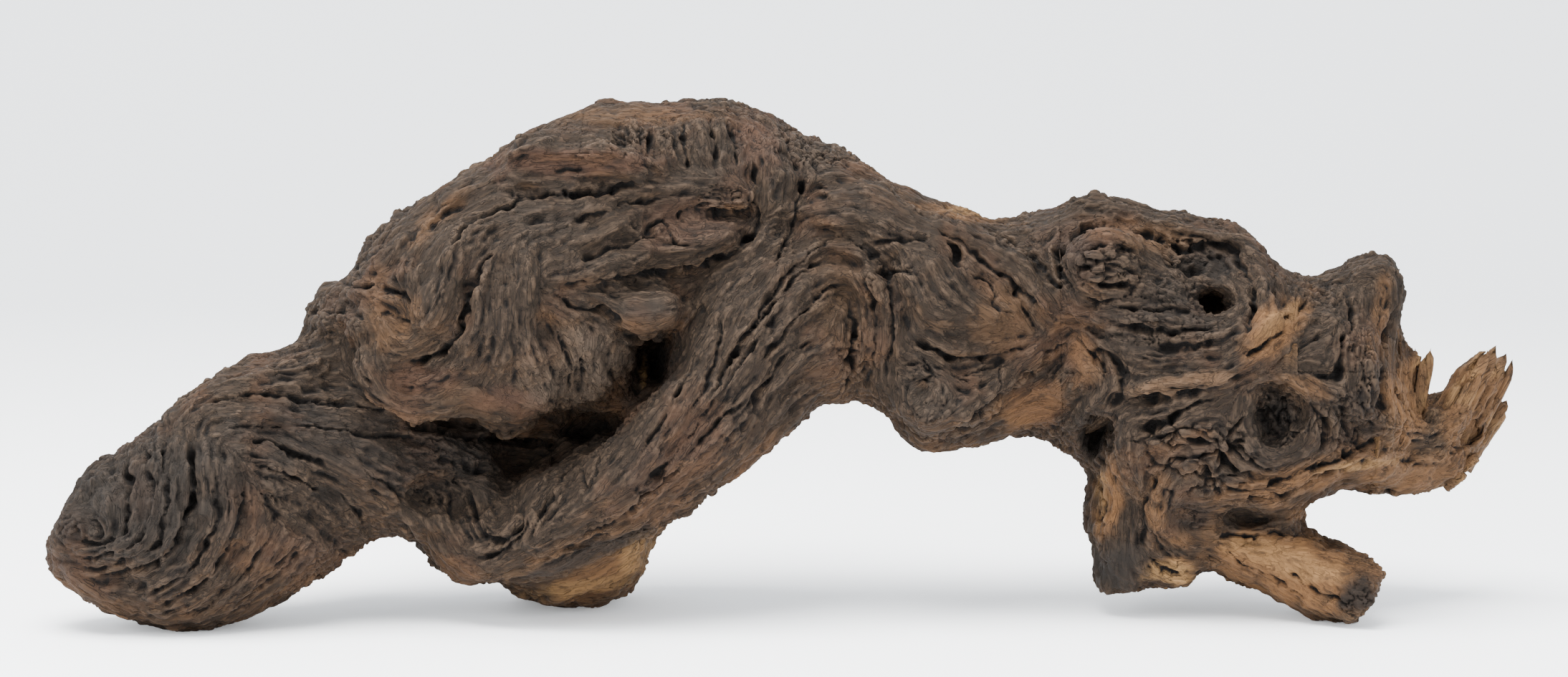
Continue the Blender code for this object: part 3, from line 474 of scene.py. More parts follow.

# Where the wood's colour turns from its dark brown, and where it is worn smooth: kind, column, row,
# half width, half height, turn in degrees and strength. Char is scorched wood and also painted shade
# in hollows, notches and under the burl's lip; dust is pale dust and also painted light on the burl's front.
PATCHES = [
    ("orange", 660, 560, 70, 26, 12, 0.15),
    ("orange", 800, 775, 110, 20, -22, 0.35),
    ("orange", 1345, 298, 66, 13, 8, 0.6),
    ("orange", 1432, 572, 66, 30, -30, 0.62),
    ("orange", 1400, 450, 40, 60, 20, 0.25),
    ("orange", 1650, 536, 96, 16, -8, 0.36),
    ("orange", 1545, 700, 22, 66, 0, 0.9),
    ("orange", 1600, 330, 90, 22, 10, 0.25),
    ("orange", 1776, 458, 74, 30, -43, 0.8),
    ("orange", 1512, 500, 20, 44, -20, 0.4),
    ("orange", 1815, 540, 40, 16, 20, 0.4),
    ("orange", 1930, 440, 16, 60, 6, 0.35),
    ("orange", 1820, 672, 140, 24, -12, 0.6),
    ("orange", 1940, 655, 110, 40, 0, 0.62),
    ("orange", 1970, 560, 40, 80, 0, 0.8),
    ("orange", 2060, 560, 70, 90, 0, 0.65),
    ("orange", 1814, 796, 162, 60, 18, 1.0),
    ("orange", 1180, 430, 44, 90, 0, 0.12),
    ("orange", 545, 440, 40, 50, 0, 0.35),
    ("orange", 880, 160, 130, 16, 0, 0.22),
    ("orange", 610, 300, 60, 16, -40, 0.3),
    ("orange", 1636, 798, 36, 24, 0, 0.8),
    ("orange", 1612, 712, 18, 46, 0, 0.55),
    ("orange", 1832, 724, 46, 26, 0, 0.6),
    ("orange", 1220, 225, 60, 14, 40, 0.3),
    ("ochre", 898, 515, 5, 30, 0, 0.8),
    ("ochre", 1632, 800, 36, 20, 0, 0.8),
    ("ochre", 1536, 690, 10, 44, 0, 0.45),
    ("ochre", 1785, 446, 44, 14, -43, 0.25),
    ("ochre", 2074, 505, 30, 20, -30, 0.45),
    ("ochre", 1985, 520, 14, 36, 0, 0.3),
    ("ochre", 1790, 780, 110, 24, 17, 0.3),
    ("ochre", 1900, 650, 60, 8, -8, 0.4),
    ("ochre", 820, 818, 90, 10, -8, 0.4),
    ("ochre", 892, 776, 34, 26, -40, 0.5),
    ("orange", 850, 796, 90, 26, -24, 0.7),
    ("ochre", 1350, 294, 40, 5, 8, 0.35),
    ("red", 700, 560, 60, 22, 10, 0.6),
    ("red", 790, 226, 130, 22, 0, 0.6),
    ("red", 960, 310, 80, 34, -8, 0.4),
    ("red", 1060, 200, 34, 50, 0, 0.4),
    ("red", 600, 530, 50, 24, 0, 0.4),
    ("red", 1450, 560, 40, 34, 0, 0.4),
    ("red", 1520, 330, 70, 30, -10, 0.35),
    ("red", 420, 770, 60, 40, 0, 0.25),
    ("red", 1890, 700, 60, 16, 0, 0.4),
    ("red", 950, 640, 90, 40, -35, 0.25),
    # char: scorched wood, and painted shade in hollows, notches and under the burl's lip
    ("char_and_painted_shade", 640, 625, 90, 40, 8, 0.65),
    ("char_and_painted_shade", 812, 778, 120, 13, -21, 0.85),
    ("char_and_painted_shade", 1896, 830, 34, 42, 20, 1.0),
    ("char_and_painted_shade", 1498, 366, 34, 50, 0, 0.45),
    ("char_and_painted_shade", 590, 650, 100, 50, 10, 0.5),
    ("char_and_painted_shade", 190, 690, 150, 110, 0, 0.5),
    ("char_and_painted_shade", 1782, 582, 32, 40, -10, 0.8),
    ("char_and_painted_shade", 1524, 610, 30, 34, 20, 0.8),
    ("char_and_painted_shade", 1556, 790, 32, 40, 0, 0.6),
    ("char_and_painted_shade", 1690, 365, 44, 26, 20, 0.7),
    ("char_and_painted_shade", 1664, 722, 34, 26, 0, 0.65),
    ("char_and_painted_shade", 455, 690, 22, 14, 0, 0.6),
    ("char_and_painted_shade", 1530, 612, 30, 30, 0, 0.5),
    ("char_and_painted_shade", 1640, 420, 70, 40, 10, 0.45),
    ("char_and_painted_shade", 540, 430, 18, 40, 0, 0.3),
    ("char_and_painted_shade", 480, 430, 40, 40, 0, 0.25),
    ("char_and_painted_shade", 1780, 735, 90, 12, 4, 0.6),
    ("char_and_painted_shade", 925, 505, 16, 42, -8, 0.7),
    ("char_and_painted_shade", 834, 604, 54, 20, 0, 0.4),
    ("char_and_painted_shade", 460, 610, 150, 56, 10, 0.5),
    ("char_and_painted_shade", 1895, 590, 30, 50, 0, 0.4),
    ("grey", 200, 700, 120, 90, 0, 0.8),
    ("grey", 1560, 792, 46, 42, 0, 0.8),
    ("grey", 330, 650, 90, 60, 0, 0.5),
    ("grey", 898, 438, 54, 24, 0, 0.7),
    ("grey", 760, 300, 60, 40, 0, 0.35),
    ("grey", 1000, 230, 60, 50, 0, 0.3),
    ("grey", 1130, 210, 60, 40, 0, 0.4),
    ("grey", 1600, 460, 90, 40, 0, 0.35),
    ("grey", 1300, 540, 50, 50, 0, 0.4),
    ("grey", 1720, 640, 80, 40, 0, 0.3),
    ("worn", 1806, 794, 140, 42, 18, 0.8),
    ("worn", 1776, 458, 74, 34, -43, 0.6),
    ("worn", 1390, 360, 110, 18, 36, 0.6),
    ("worn", 1512, 500, 20, 44, -20, 0.6),
    ("worn", 1440, 572, 66, 26, -30, 0.7),
    ("worn", 680, 560, 90, 24, 10, 0.7),
    ("worn", 898, 436, 54, 26, 0, 0.5),
    ("worn", 1556, 790, 44, 40, 0, 0.7),
    ("worn", 1940, 665, 110, 20, 0, 0.7),
    ("worn", 1545, 700, 20, 60, 0, 0.5),
    ("worn", 1330, 330, 60, 20, 30, 0.5),
    ("worn", 1660, 640, 80, 56, 0, 0.45),
    ("worn", 1500, 300, 50, 16, -10, 0.4),
    ("worn", 820, 805, 110, 24, -10, 0.25),
    ("worn", 1390, 440, 60, 60, 20, 0.4),
    ("worn", 900, 312, 130, 56, -12, 0.35),
    ("worn", 1150, 400, 90, 60, -20, 0.25),
    ("worn", 1300, 590, 50, 30, 0, 0.4),
    # dust: painted light over the shaded burl front, and pale dust elsewhere
    ("dust_and_painted_light", 810, 510, 84, 64, 0, 0.75),
    ("dust_and_painted_light", 1640, 536, 90, 16, -6, 0.5),
]
# Each kind, with how strongly it also shows in loose patches on the far side
LOOSE = {"orange": 0.4, "ochre": 0.12, "red": 0.5, "char_and_painted_shade": 0.5, "grey": 0.5, "worn": 0.1, "dust_and_painted_light": 0.2}

# The forks: the limb parted there and its outline in the photograph; what is in none is the trunk
FORKS = {
    "left_limb": [(560, 772), (412, 440), (412, 300), (0, 300), (0, 940), (560, 940)],
    "rear_foot": [(700, 800), (945, 728), (1000, 800), (1000, 940), (700, 940)],
    "stub_leg": [(1842, 698), (1690, 788), (1690, 940), (2000, 940), (2000, 760)],
    "front_toe": [(1500, 738), (1722, 790), (1686, 940), (1480, 940)],
    "splinter_arm": [(1962, 478), (1900, 730), (2188, 730), (2188, 478)],
    "horn": [(1780, 420), (1975, 482), (2000, 482), (2000, 320), (1780, 320)],
    "right_head_crown": [(1478, 250), (1482, 520), (2000, 520), (2188, 500), (2188, 250)],
    "right_head_base": [(1482, 520), (1482, 940), (2188, 940), (2188, 500), (2000, 520)],
    "trunk_burl": [(400, 100), (820, 100), (790, 420), (740, 940), (400, 940)],
    "trunk_shoulder": [(820, 100), (1110, 100), (1080, 420), (1040, 940), (740, 940), (790, 420)],
}
REST = "trunk_knuckle"
BARE = ("rear_foot", "stub_leg", "splinter_arm")

LATTICE = 64
TURN = np.linalg.qr(np.random.default_rng(3).standard_normal((3, 3)))[0]
NOISE = [rng.standard_normal(LATTICE ** 3).astype(np.float32) for _ in range(6)]


def lattice(points, cell, noise, eased=False):
    """Random values at the corners of cubes of one size, blended between the corners."""
    place = points @ TURN / cell
    low = np.floor(place)
    share = (place - low).astype(np.float32)
    if eased:
        share = share * share * (3.0 - 2.0 * share)
    low = low.astype(np.int64) % LATTICE
    high = (low + 1) % LATTICE
    x0, x1 = low[:, 0] * LATTICE ** 2, high[:, 0] * LATTICE ** 2
    y0, y1 = low[:, 1] * LATTICE, high[:, 1] * LATTICE
    z0, z1 = low[:, 2], high[:, 2]
    u, v, w = share.T
    near = (noise[x0 + y0 + z0] * (1 - u) + noise[x1 + y0 + z0] * u) * (1 - v) \
        + (noise[x0 + y1 + z0] * (1 - u) + noise[x1 + y1 + z0] * u) * v
    far = (noise[x0 + y0 + z1] * (1 - u) + noise[x1 + y0 + z1] * u) * (1 - v) \
        + (noise[x0 + y1 + z1] * (1 - u) + noise[x1 + y1 + z1] * u) * v
    return near * (1 - w) + far * w


def cloudy(points, cell, first=0):
    """Three octaves of eased lattice noise, each half as large and half as strong."""
    total = 0.0
    for octave in range(3):
        total = total + lattice(points, cell / 2 ** octave, NOISE[(first + octave) % 6], True) / 2 ** octave
    return total


def curve(way, step):
    """Places about one step apart on a Catmull-Rom curve through a way's points."""
    points = np.array(way, float)
    points = np.vstack([2 * points[0] - points[1], points, 2 * points[-1] - points[-2]])
    spans = []
    for before, start, end, after in zip(points, points[1:], points[2:], points[3:]):
        count = max(2, int(np.linalg.norm(end - start) / step))
        t = np.linspace(0.0, 1.0, count, endpoint=False)[:, None]
        spans.append(0.5 * (2 * start + (end - before) * t
                            + (2 * before - 5 * start + 4 * end - after) * t ** 2
                            + (3 * start - before - 3 * end + after) * t ** 3))
    return np.vstack(spans + [points[-2:-1]])


def beside(places, way, margin):
    """The places within a margin of a way, with their distance, share of its length and side."""
    line = curve(way, 12.0)
    inside = (places > line.min(axis=0) - margin) & (places < line.max(axis=0) + margin)
    near = np.flatnonzero(inside.all(axis=1))
    spans = np.diff(line, axis=0)
    offsets = places[near][:, None, :] - line[:-1]
    share = np.clip((offsets * spans).sum(axis=2) / (spans ** 2).sum(axis=1), 0.0, 1.0)
    gaps = ((offsets - share[..., None] * spans) ** 2).sum(axis=2)
    nearest = gaps.argmin(axis=1)
    rows = np.arange(len(near))
    distance = np.sqrt(gaps[rows, nearest])
    travelled = (nearest + share[rows, nearest]) / len(spans)
    span, offset = spans[nearest], offsets[rows, nearest]
    side = np.sign(span[:, 0] * offset[:, 1] - span[:, 1] * offset[:, 0])
    return near, distance, travelled, side


def tapered(travelled, ends=0.16):
    """1 along a way and falling to 0 at its two ends."""
    return smoothstep(0.0, ends, travelled) * smoothstep(0.0, ends, 1.0 - travelled)


def carve(places, ways, spread, power, vary):
    """The deepest way at each place: size * vary * taper * exp(-(distance / width)^power).

    The width is spread * half width * vary, so that a way is thick and thin by turns.
    """
    depth = np.zeros(len(places))
    for size, half_width, way in ways:
        wide = spread * half_width
        near, distance, travelled, _ = beside(places, way, 2.6 * wide)
        share = vary[near]
        here = size * share * tapered(travelled) * np.exp(-(distance / (wide * share)) ** power)
        depth[near] = np.maximum(depth[near], here)
    return depth


def ledges(places):
    """Sum over ledges of height * exp(-d / slope) on the raised side, and of a slot beside it."""
    height = np.zeros(len(places))
    for size, half_width, slope, way in LEDGES:
        near, distance, travelled, side = beside(places, way, 2.5 * slope)
        raised = np.exp(-distance / slope) * smoothstep(-half_width, half_width, side * distance)
        slot = -0.7 * np.exp(-(distance / (3.0 * half_width)) ** 2) * (side < 0)
        height[near] += size * tapered(travelled) * (raised + slot)
    return height


def ellipse_reach(places, column, row, half_width, half_height, turn=0.0):
    """Distance from an ellipse's centre as a share of its radius that way."""
    angle = math.radians(turn)
    across, down = places[:, 0] - column, places[:, 1] - row
    u = (across * math.cos(angle) + down * math.sin(angle)) / half_width
    v = (down * math.cos(angle) - across * math.sin(angle)) / half_height
    return np.hypot(u, v)


def rings(places, knots, stray):
    """Sum over knots of height * cos(2 pi * count * rho) * (1 - rho^2), rho the share of the radius.

    The stray values shift rho and thin the rings out here and there.
    """
    height = np.zeros(len(places))
    for column, row, radius, size, count in knots:
        rho = ellipse_reach(places, column, row, radius, 0.8 * radius)
        inside = np.flatnonzero(rho < 1.0)
        rho, loose = rho[inside], stray[inside]
        wave = np.cos(2.0 * math.pi * (count * rho + 0.22 * loose)) * (1.0 - rho ** 2)
        height[inside] += size * wave * np.clip(0.6 + 0.5 * loose, 0.0, 1.0)
    return height


JITTER = rng.random((LATTICE ** 3, 3)).astype(np.float32)
AROUND = np.array([(i, j, k) for i in (-1, 0, 1) for j in (-1, 0, 1) for k in (-1, 0, 1)])


def chunks(points, cell):
    """Distance to the second nearest less that to the nearest of the places strewn one to a cube."""
    place = points @ TURN / cell
    base = np.floor(place).astype(np.int64)
    nearest = np.full(len(points), 9.0)
    second = nearest.copy()
    for offset in AROUND:
        corner = base + offset
        index = (corner % LATTICE) @ (LATTICE ** 2, LATTICE, 1)
        away = np.linalg.norm(place - corner - JITTER[index], axis=1)
        second = np.minimum(second, np.maximum(nearest, away))
        nearest = np.minimum(nearest, away)
    return second - nearest


def broken(points, places, front):
    """Where the wood has cracked into chunks: their uneven tops less the gaps between them."""
    height = np.zeros(len(points))
    wobble = np.stack([cloudy(points + 0.1 * axis, 5 * MM, axis) for axis in range(3)], axis=1)
    points = points + 1.3 * MM * wobble
    double = field_at(photo_place(points), FIELDS[0])
    for column, row, half_width, half_height, cell, depth in BLOCKS:
        rho = ellipse_reach(places, column, row, half_width, half_height)
        near = np.flatnonzero(rho < 1.15)
        strength = depth * (1.0 - smoothstep(0.6, 1.15, rho[near])) * front[near]
        mean = (double[near] * strength[:, None]).sum(axis=0)
        angle = 0.5 * math.atan2(mean[1], mean[0])
        way = np.array([math.cos(angle), 0.0, -math.sin(angle)])
        drawn = points[near] - 0.5 * (points[near] @ way)[:, None] * way
        gap = chunks(drawn, cell * MM)
        deep = np.clip(0.7 + 0.5 * wobble[near, 0], 0.15, 1.3)
        here = 0.3 * smoothstep(0.0, 0.7, gap) - deep * (1.0 - smoothstep(0.0, 0.15, gap))
        height[near] = np.minimum(height[near], 0.0) + strength * here
    return height


def hollows(places, stray):
    """Sum over hollows of depth * exp(-rho^4), rho the share of the radius, shifted by stray values."""
    depth = np.zeros(len(places))
    for column, row, half_width, half_height, turn, size in HOLLOWS:
        rho = ellipse_reach(places, column, row, half_width, half_height, turn)
        depth += size * np.exp(-np.clip(rho * (1.0 + 0.2 * stray), 0.0, 3.0) ** 4)
    return depth


# The grain's direction over the photograph, held as the cosine and sine of twice its angle
CELL = 8.0
SOFTNESS = 14.0


def circle(column, row, radius):
    """A closed way around a knot."""
    turns = np.linspace(0.0, 2.0 * math.pi, 13)
    return list(zip(column + radius * np.cos(turns), row + 0.8 * radius * np.sin(turns)))


def grain_field(ways, knots):
    """Each way's direction spread over a grid with the weight 1 / (r^2 + softness^2)^2."""
    ways = list(ways) + [circle(k[0], k[1], k[2] * share) for k in knots for share in (0.4, 0.75)]
    lines = [curve(way, 10.0) for way in ways]
    middles = np.vstack([(line[1:] + line[:-1]) / 2 for line in lines]).astype(np.float32)
    steps = np.vstack([np.diff(line, axis=0) for line in lines])
    double = 2.0 * np.arctan2(steps[:, 1], steps[:, 0])
    turned = np.stack([np.cos(double), np.sin(double)], axis=1).astype(np.float32)
    columns = np.arange(0.0, FRAME_COLUMNS + CELL, CELL, dtype=np.float32)
    field = []
    for row in np.arange(0.0, FRAME_ROWS + CELL, CELL, dtype=np.float32):
        reach = (columns[:, None] - middles[:, 0]) ** 2 + (row - middles[:, 1]) ** 2
        field.append((1.0 / (reach + SOFTNESS ** 2) ** 2) @ turned)
    field = np.stack(field)
    return field / np.linalg.norm(field, axis=2, keepdims=True)


def field_at(places, field):
    """The grain's field between its grid's corners."""
    rows, columns = field.shape[:2]
    u = np.clip(places[:, 0] / CELL, 0, columns - 1.001)
    v = np.clip(places[:, 1] / CELL, 0, rows - 1.001)
    i, j = u.astype(int), v.astype(int)
    u, v = (u - i)[:, None], (v - j)[:, None]
    return (field[j, i] * (1 - u) + field[j, i + 1] * u) * (1 - v) \
        + (field[j + 1, i] * (1 - u) + field[j + 1, i + 1] * u) * v


def comb(points, front, fields, step, count, cell, noise):
    """Noise averaged over count steps each way along the grain, brought to mean 0 and spread 1."""
    total = lattice(points, cell, noise)
    for sense in (1.0, -1.0):
        place = points.copy()
        heading = None
        for _ in range(count):
            photo = photo_place(place)
            double = field_at(photo, fields[0]) * front + field_at(photo, fields[1]) * (1 - front)
            angle = 0.5 * np.arctan2(double[:, 1], double[:, 0])
            way = np.stack([np.cos(angle), -np.sin(angle)], axis=1)
            if heading is None:
                heading = way * sense
            else:
                heading = way * np.where((way * heading).sum(axis=1) < 0, -1.0, 1.0)[:, None]
            place[:, 0] += step * heading[:, 0]
            place[:, 2] += step * heading[:, 1]
            total = total + lattice(place, cell, noise)
    total -= total.mean()
    return total / total.std()


# Meshes as arrays

def read_mesh(mesh):
    """A mesh's points and its four-sided faces."""
    points = np.empty(len(mesh.vertices) * 3)
    mesh.vertices.foreach_get("co", points)
    corners = np.empty(len(mesh.loops), dtype=np.int64)
    mesh.loops.foreach_get("vertex_index", corners)
    return points.reshape(-1, 3), corners.reshape(-1, 4)


def write_mesh(name, points, faces):
    """A new smooth mesh from points and faces that all have as many sides."""
    mesh = bpy.data.meshes.new(name)
    mesh.vertices.add(len(points))
    mesh.vertices.foreach_set("co", points.astype(np.float32).ravel())
    mesh.loops.add(faces.size)
    mesh.loops.foreach_set("vertex_index", faces.astype(np.int32).ravel())
    mesh.polygons.add(len(faces))
    mesh.polygons.foreach_set("loop_start", np.arange(0, faces.size, faces.shape[1], dtype=np.int32))
    mesh.polygons.foreach_set("use_smooth", np.ones(len(faces), dtype=bool))
    mesh.update(calc_edges=True)
    return mesh


def with_modifier(mesh, kind, settings):
    """The mesh after a modifier, with the old one cleared away."""
    thing = bpy.data.objects.new(mesh.name, mesh)
    bpy.context.scene.collection.objects.link(thing)
    modifier = thing.modifiers.new(kind.lower(), kind)
    for setting, value in settings.items():
        setattr(modifier, setting, value)
    graph = bpy.context.evaluated_depsgraph_get()
    made = bpy.data.meshes.new_from_object(thing.evaluated_get(graph), depsgraph=graph)
    bpy.data.objects.remove(thing)
    bpy.data.meshes.remove(mesh)
    return made


def remeshed(mesh, voxel):
    """A skin of even squares around a mesh, as arrays."""
    made = with_modifier(mesh, "REMESH", {"mode": "VOXEL", "voxel_size": voxel})
    arrays = read_mesh(made)
    bpy.data.meshes.remove(made)
    return arrays


def normals_of(points, quads):
    """Each point's normal: the sum of its faces' doubled areas as vectors, brought to length 1."""
    faces = np.cross(points[quads[:, 2]] - points[quads[:, 0]],
                     points[quads[:, 3]] - points[quads[:, 1]])
    corners = quads.T.ravel()
    normals = np.stack([np.bincount(corners, np.tile(faces[:, axis], 4), len(points))
                        for axis in range(3)], axis=1)
    return normals / np.maximum(np.linalg.norm(normals, axis=1, keepdims=True), 1e-12)


def eased(points, quads, times):
    """Points moved times over to the mean of the points that share a face with them."""
    corners = quads.T.ravel()
    count = np.maximum(np.bincount(corners, minlength=len(points)), 1)[:, None]
    for _ in range(times):
        middles = points[quads].mean(axis=1)
        points = np.stack([np.bincount(corners, np.tile(middles[:, axis], 4), len(points))
                           for axis in range(3)], axis=1) / count
    return points


def halved(points, quads):
    """Each square split in four: a new point in its middle and one halfway along each edge."""
    count = len(points)
    starts, ends = quads, np.roll(quads, -1, axis=1)
    keys = np.minimum(starts, ends) * count + np.maximum(starts, ends)
    edges, which = np.unique(keys.ravel(), return_inverse=True)
    on_edges = 0.5 * (points[edges // count] + points[edges % count])
    middle = count + len(edges) + np.arange(len(quads))
    which = count + which.reshape(-1, 4)
    small = [np.stack([quads[:, k], which[:, k], middle, which[:, k - 1]], axis=1) for k in range(4)]
    return np.vstack([points, on_edges, points[quads].mean(axis=1)]), np.vstack(small)


def grown_together():
    """Every solid swelled along its normals, grown into one skin at the forks and drawn in again."""
    whole = bmesh.new()
    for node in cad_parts.values():
        whole.from_mesh(node.data)
    bmesh.ops.remove_doubles(whole, verts=whole.verts, dist=0.01 * MM)
    whole.normal_update()
    for vertex in whole.verts:
        vertex.co += vertex.normal * SWELL
    mesh = bpy.data.meshes.new("solids")
    whole.to_mesh(mesh)
    whole.free()
    points, quads = remeshed(mesh, FIRST_VOXEL)
    points = eased(points, quads, 1)
    points += normals_of(points, quads) * CLOSING
    points, quads = remeshed(write_mesh("swelled", points, quads), FIRST_VOXEL)
    points = eased(points, quads, FIRST_EASE)
    return points - normals_of(points, quads) * (SHRINK + CLOSING), quads


def facing(normals, blend=FRONT_BLEND):
    """How far each point is on the photographed side: 1 there, a half edge on, 0 behind."""
    return smoothstep(-blend, blend, -(normals @ FORWARD))


def wandering(points, size, cell, first):
    """Photo places moved about by up to a few pixels of cloudy noise."""
    shift = np.stack([cloudy(points, cell, first), cloudy(points + 1.0, cell, first + 2)], axis=1)
    return photo_place(points) + size * shift


# How strongly each list counts in the wide relief, and the cloudy unevenness in millimetres
ROLL_SHARE, LEDGE_SHARE, VALLEY_SHARE = 1.45, 1.2, 0.55
SLOW_UNEVEN, QUICK_UNEVEN = 0.9, 0.7


def rough_carving(points, quads):
    """The wide forms: rolls, ledges, broad valleys beside cracks, hollows and slow unevenness."""
    normals = normals_of(points, quads)
    front = facing(normals)
    seen = np.flatnonzero(front > 0.01)
    seen_places = wandering(points[seen], 3.4, 10 * MM, 0)
    vary = np.clip(0.85 + 0.30 * cloudy(points[seen], 13 * MM, 5), 0.45, 1.3)
    out = np.zeros(len(points))
    out[seen] = ROLL_SHARE * carve(seen_places, ROLLS, 0.9, 2.0, vary) + LEDGE_SHARE * ledges(seen_places)
    out[seen] -= VALLEY_SHARE * carve(seen_places, CRACKS, 1.9, 1.5, vary)
    out *= front
    out += SLOW_UNEVEN * cloudy(points, 17 * MM, 1) + QUICK_UNEVEN * cloudy(points, 6 * MM, 3)
    behind = np.flatnonzero(front < 0.99)
    places = wandering(points[behind], 6.0, 15 * MM, 3)
    vary = np.clip(0.9 + 0.4 * cloudy(points[behind], 16 * MM, 4), 0.3, 1.4)
    folds = carve(places, REAR_RIDGES, 1.0, 2.0, vary) - carve(places, REAR_FOLDS, 1.0, 1.4, vary)
    out[behind] += folds * (1.0 - front[behind])
    inward = np.zeros(len(points))
    square = smoothstep(0.08, 0.25, -(normals[seen] @ FORWARD))
    inward[seen] = hollows(seen_places, cloudy(points[seen], 5 * MM, 2)) * square
    return points + normals * (out * MM)[:, None] + FORWARD * (inward * MM)[:, None]


def fine_skin():
    """The carved skin remeshed in small squares, its fine relief and its surface values."""
    points, quads = grown_together()
    points = rough_carving(points, quads)
    points, quads = remeshed(write_mesh("rough", points, quads), SECOND_VOXEL)
    points, quads = halved(eased(points, quads, 1), quads)
    return eased(points, quads, 1), quads


FIELDS = (
    grain_field([way[-1] for way in ROLLS + CRACKS + LEDGES] + LEADS, KNOTS),
    grain_field(REAR_LEADS, REAR_KNOTS),
)


# Splits along the grain: the least gap between two and the length of a step, in pixels, and how
# many places they are tried from
SPLIT_GAP = 10.0
SPLIT_STEP = 9.0
SPLIT_SEEDS = 3000


def traced(field, draws):
    """Ways along the grain's field from random places, each ending short of the ways before it.

    Each has a depth in millimetres and a half width in pixels of its own.
    """
    taken = np.zeros((int(FRAME_ROWS / SPLIT_GAP) + 1, int(FRAME_COLUMNS / SPLIT_GAP) + 1), dtype=bool)
    found = []
    for seed in draws.uniform((50.0, 130.0), (2120.0, 880.0), (SPLIT_SEEDS, 2)):
        steps, way = draws.integers(2, 9), [seed]
        for sense in (1.0, -1.0):
            place, heading = seed, None
            for _ in range(steps):
                cosine, sine = field_at(place[None], field)[0]
                angle = 0.5 * math.atan2(sine, cosine)
                turned = sense * np.array([math.cos(angle), math.sin(angle)])
                if heading is not None and turned @ heading < 0:
                    turned = -turned
                place, heading = place + SPLIT_STEP * turned, turned
                column, row = (place / SPLIT_GAP).astype(int)
                if not (0 <= row < len(taken) and 0 <= column < len(taken[0])) or taken[row, column]:
                    break
                way.append(place)
            way.reverse()
        if len(way) > 4:
            cells = (np.array(way) / SPLIT_GAP).astype(int)
            taken[cells[:, 1], cells[:, 0]] = True
            found.append((draws.uniform(0.5, 1.9), draws.uniform(2.6, 3.6), way))
    return found


SPLITS = tuple(traced(field, np.random.default_rng(number)) for number, field in enumerate(FIELDS))


def split_open(places, ways, vary):
    """Along each way a narrow cleft in a shallow valley: depth * (e^-(d/w)^1.6 + 0.4 e^-(d/3w)^2).

    The places are sorted by column, so that each way looks only at those in its own columns.
    """
    order = np.argsort(places[:, 0])
    columns = places[order, 0]
    depth = np.zeros(len(places))
    for size, half_width, way in ways:
        margin = 6.0 * half_width
        across = [column for column, _ in way]
        low, high = np.searchsorted(columns, (min(across) - margin, max(across) + margin))
        mine = order[low:high]
        near, distance, travelled, _ = beside(places[mine], way, margin)
        share = distance / half_width
        profile = np.exp(-share ** 1.6) + 0.4 * np.exp(-(share / 3.0) ** 2)
        near = mine[near]
        depth[near] = np.maximum(depth[near], size * vary[near] * tapered(travelled, 0.3) * profile)
    return depth


def crumbled(points):
    """Uneven chips: the tops of chunks less the gaps between them, stronger here and there."""
    strength = smoothstep(-0.6, 1.0, cloudy(points, 20 * MM, 1))
    wobble = np.stack([cloudy(points + 0.1 * axis, 5 * MM, axis) for axis in range(3)], axis=1)
    gap = chunks(points + 1.2 * MM * wobble, 5.0 * MM)
    tops = 0.5 * wobble[:, 1] + 0.4 * smoothstep(0.0, 0.7, gap)
    return strength * (tops - 1.2 * (1.0 - smoothstep(0.0, 0.2, gap)))


def thin_lines(combed, width):
    """1 along the lines where combed noise passes through 0, falling to 0 a little way off."""
    return 1.0 - smoothstep(0.0, width, np.abs(combed))


# Combed grain, coarse to fine: a step in millimetres, how many steps each way, the noise's cubes in
# millimetres, and its share of the relief in millimetres
COMBS = [
    (2.0, 9, 4.2, 0.42),
    (1.2, 9, 2.0, 0.27),
    (0.8, 8, 1.1, 0.17),
]
CLEFT_SHARE, CRACK_SHARE, UNEVEN_SHARE = 0.9, 1.2, 0.22
WORN_SMOOTH = 0.75


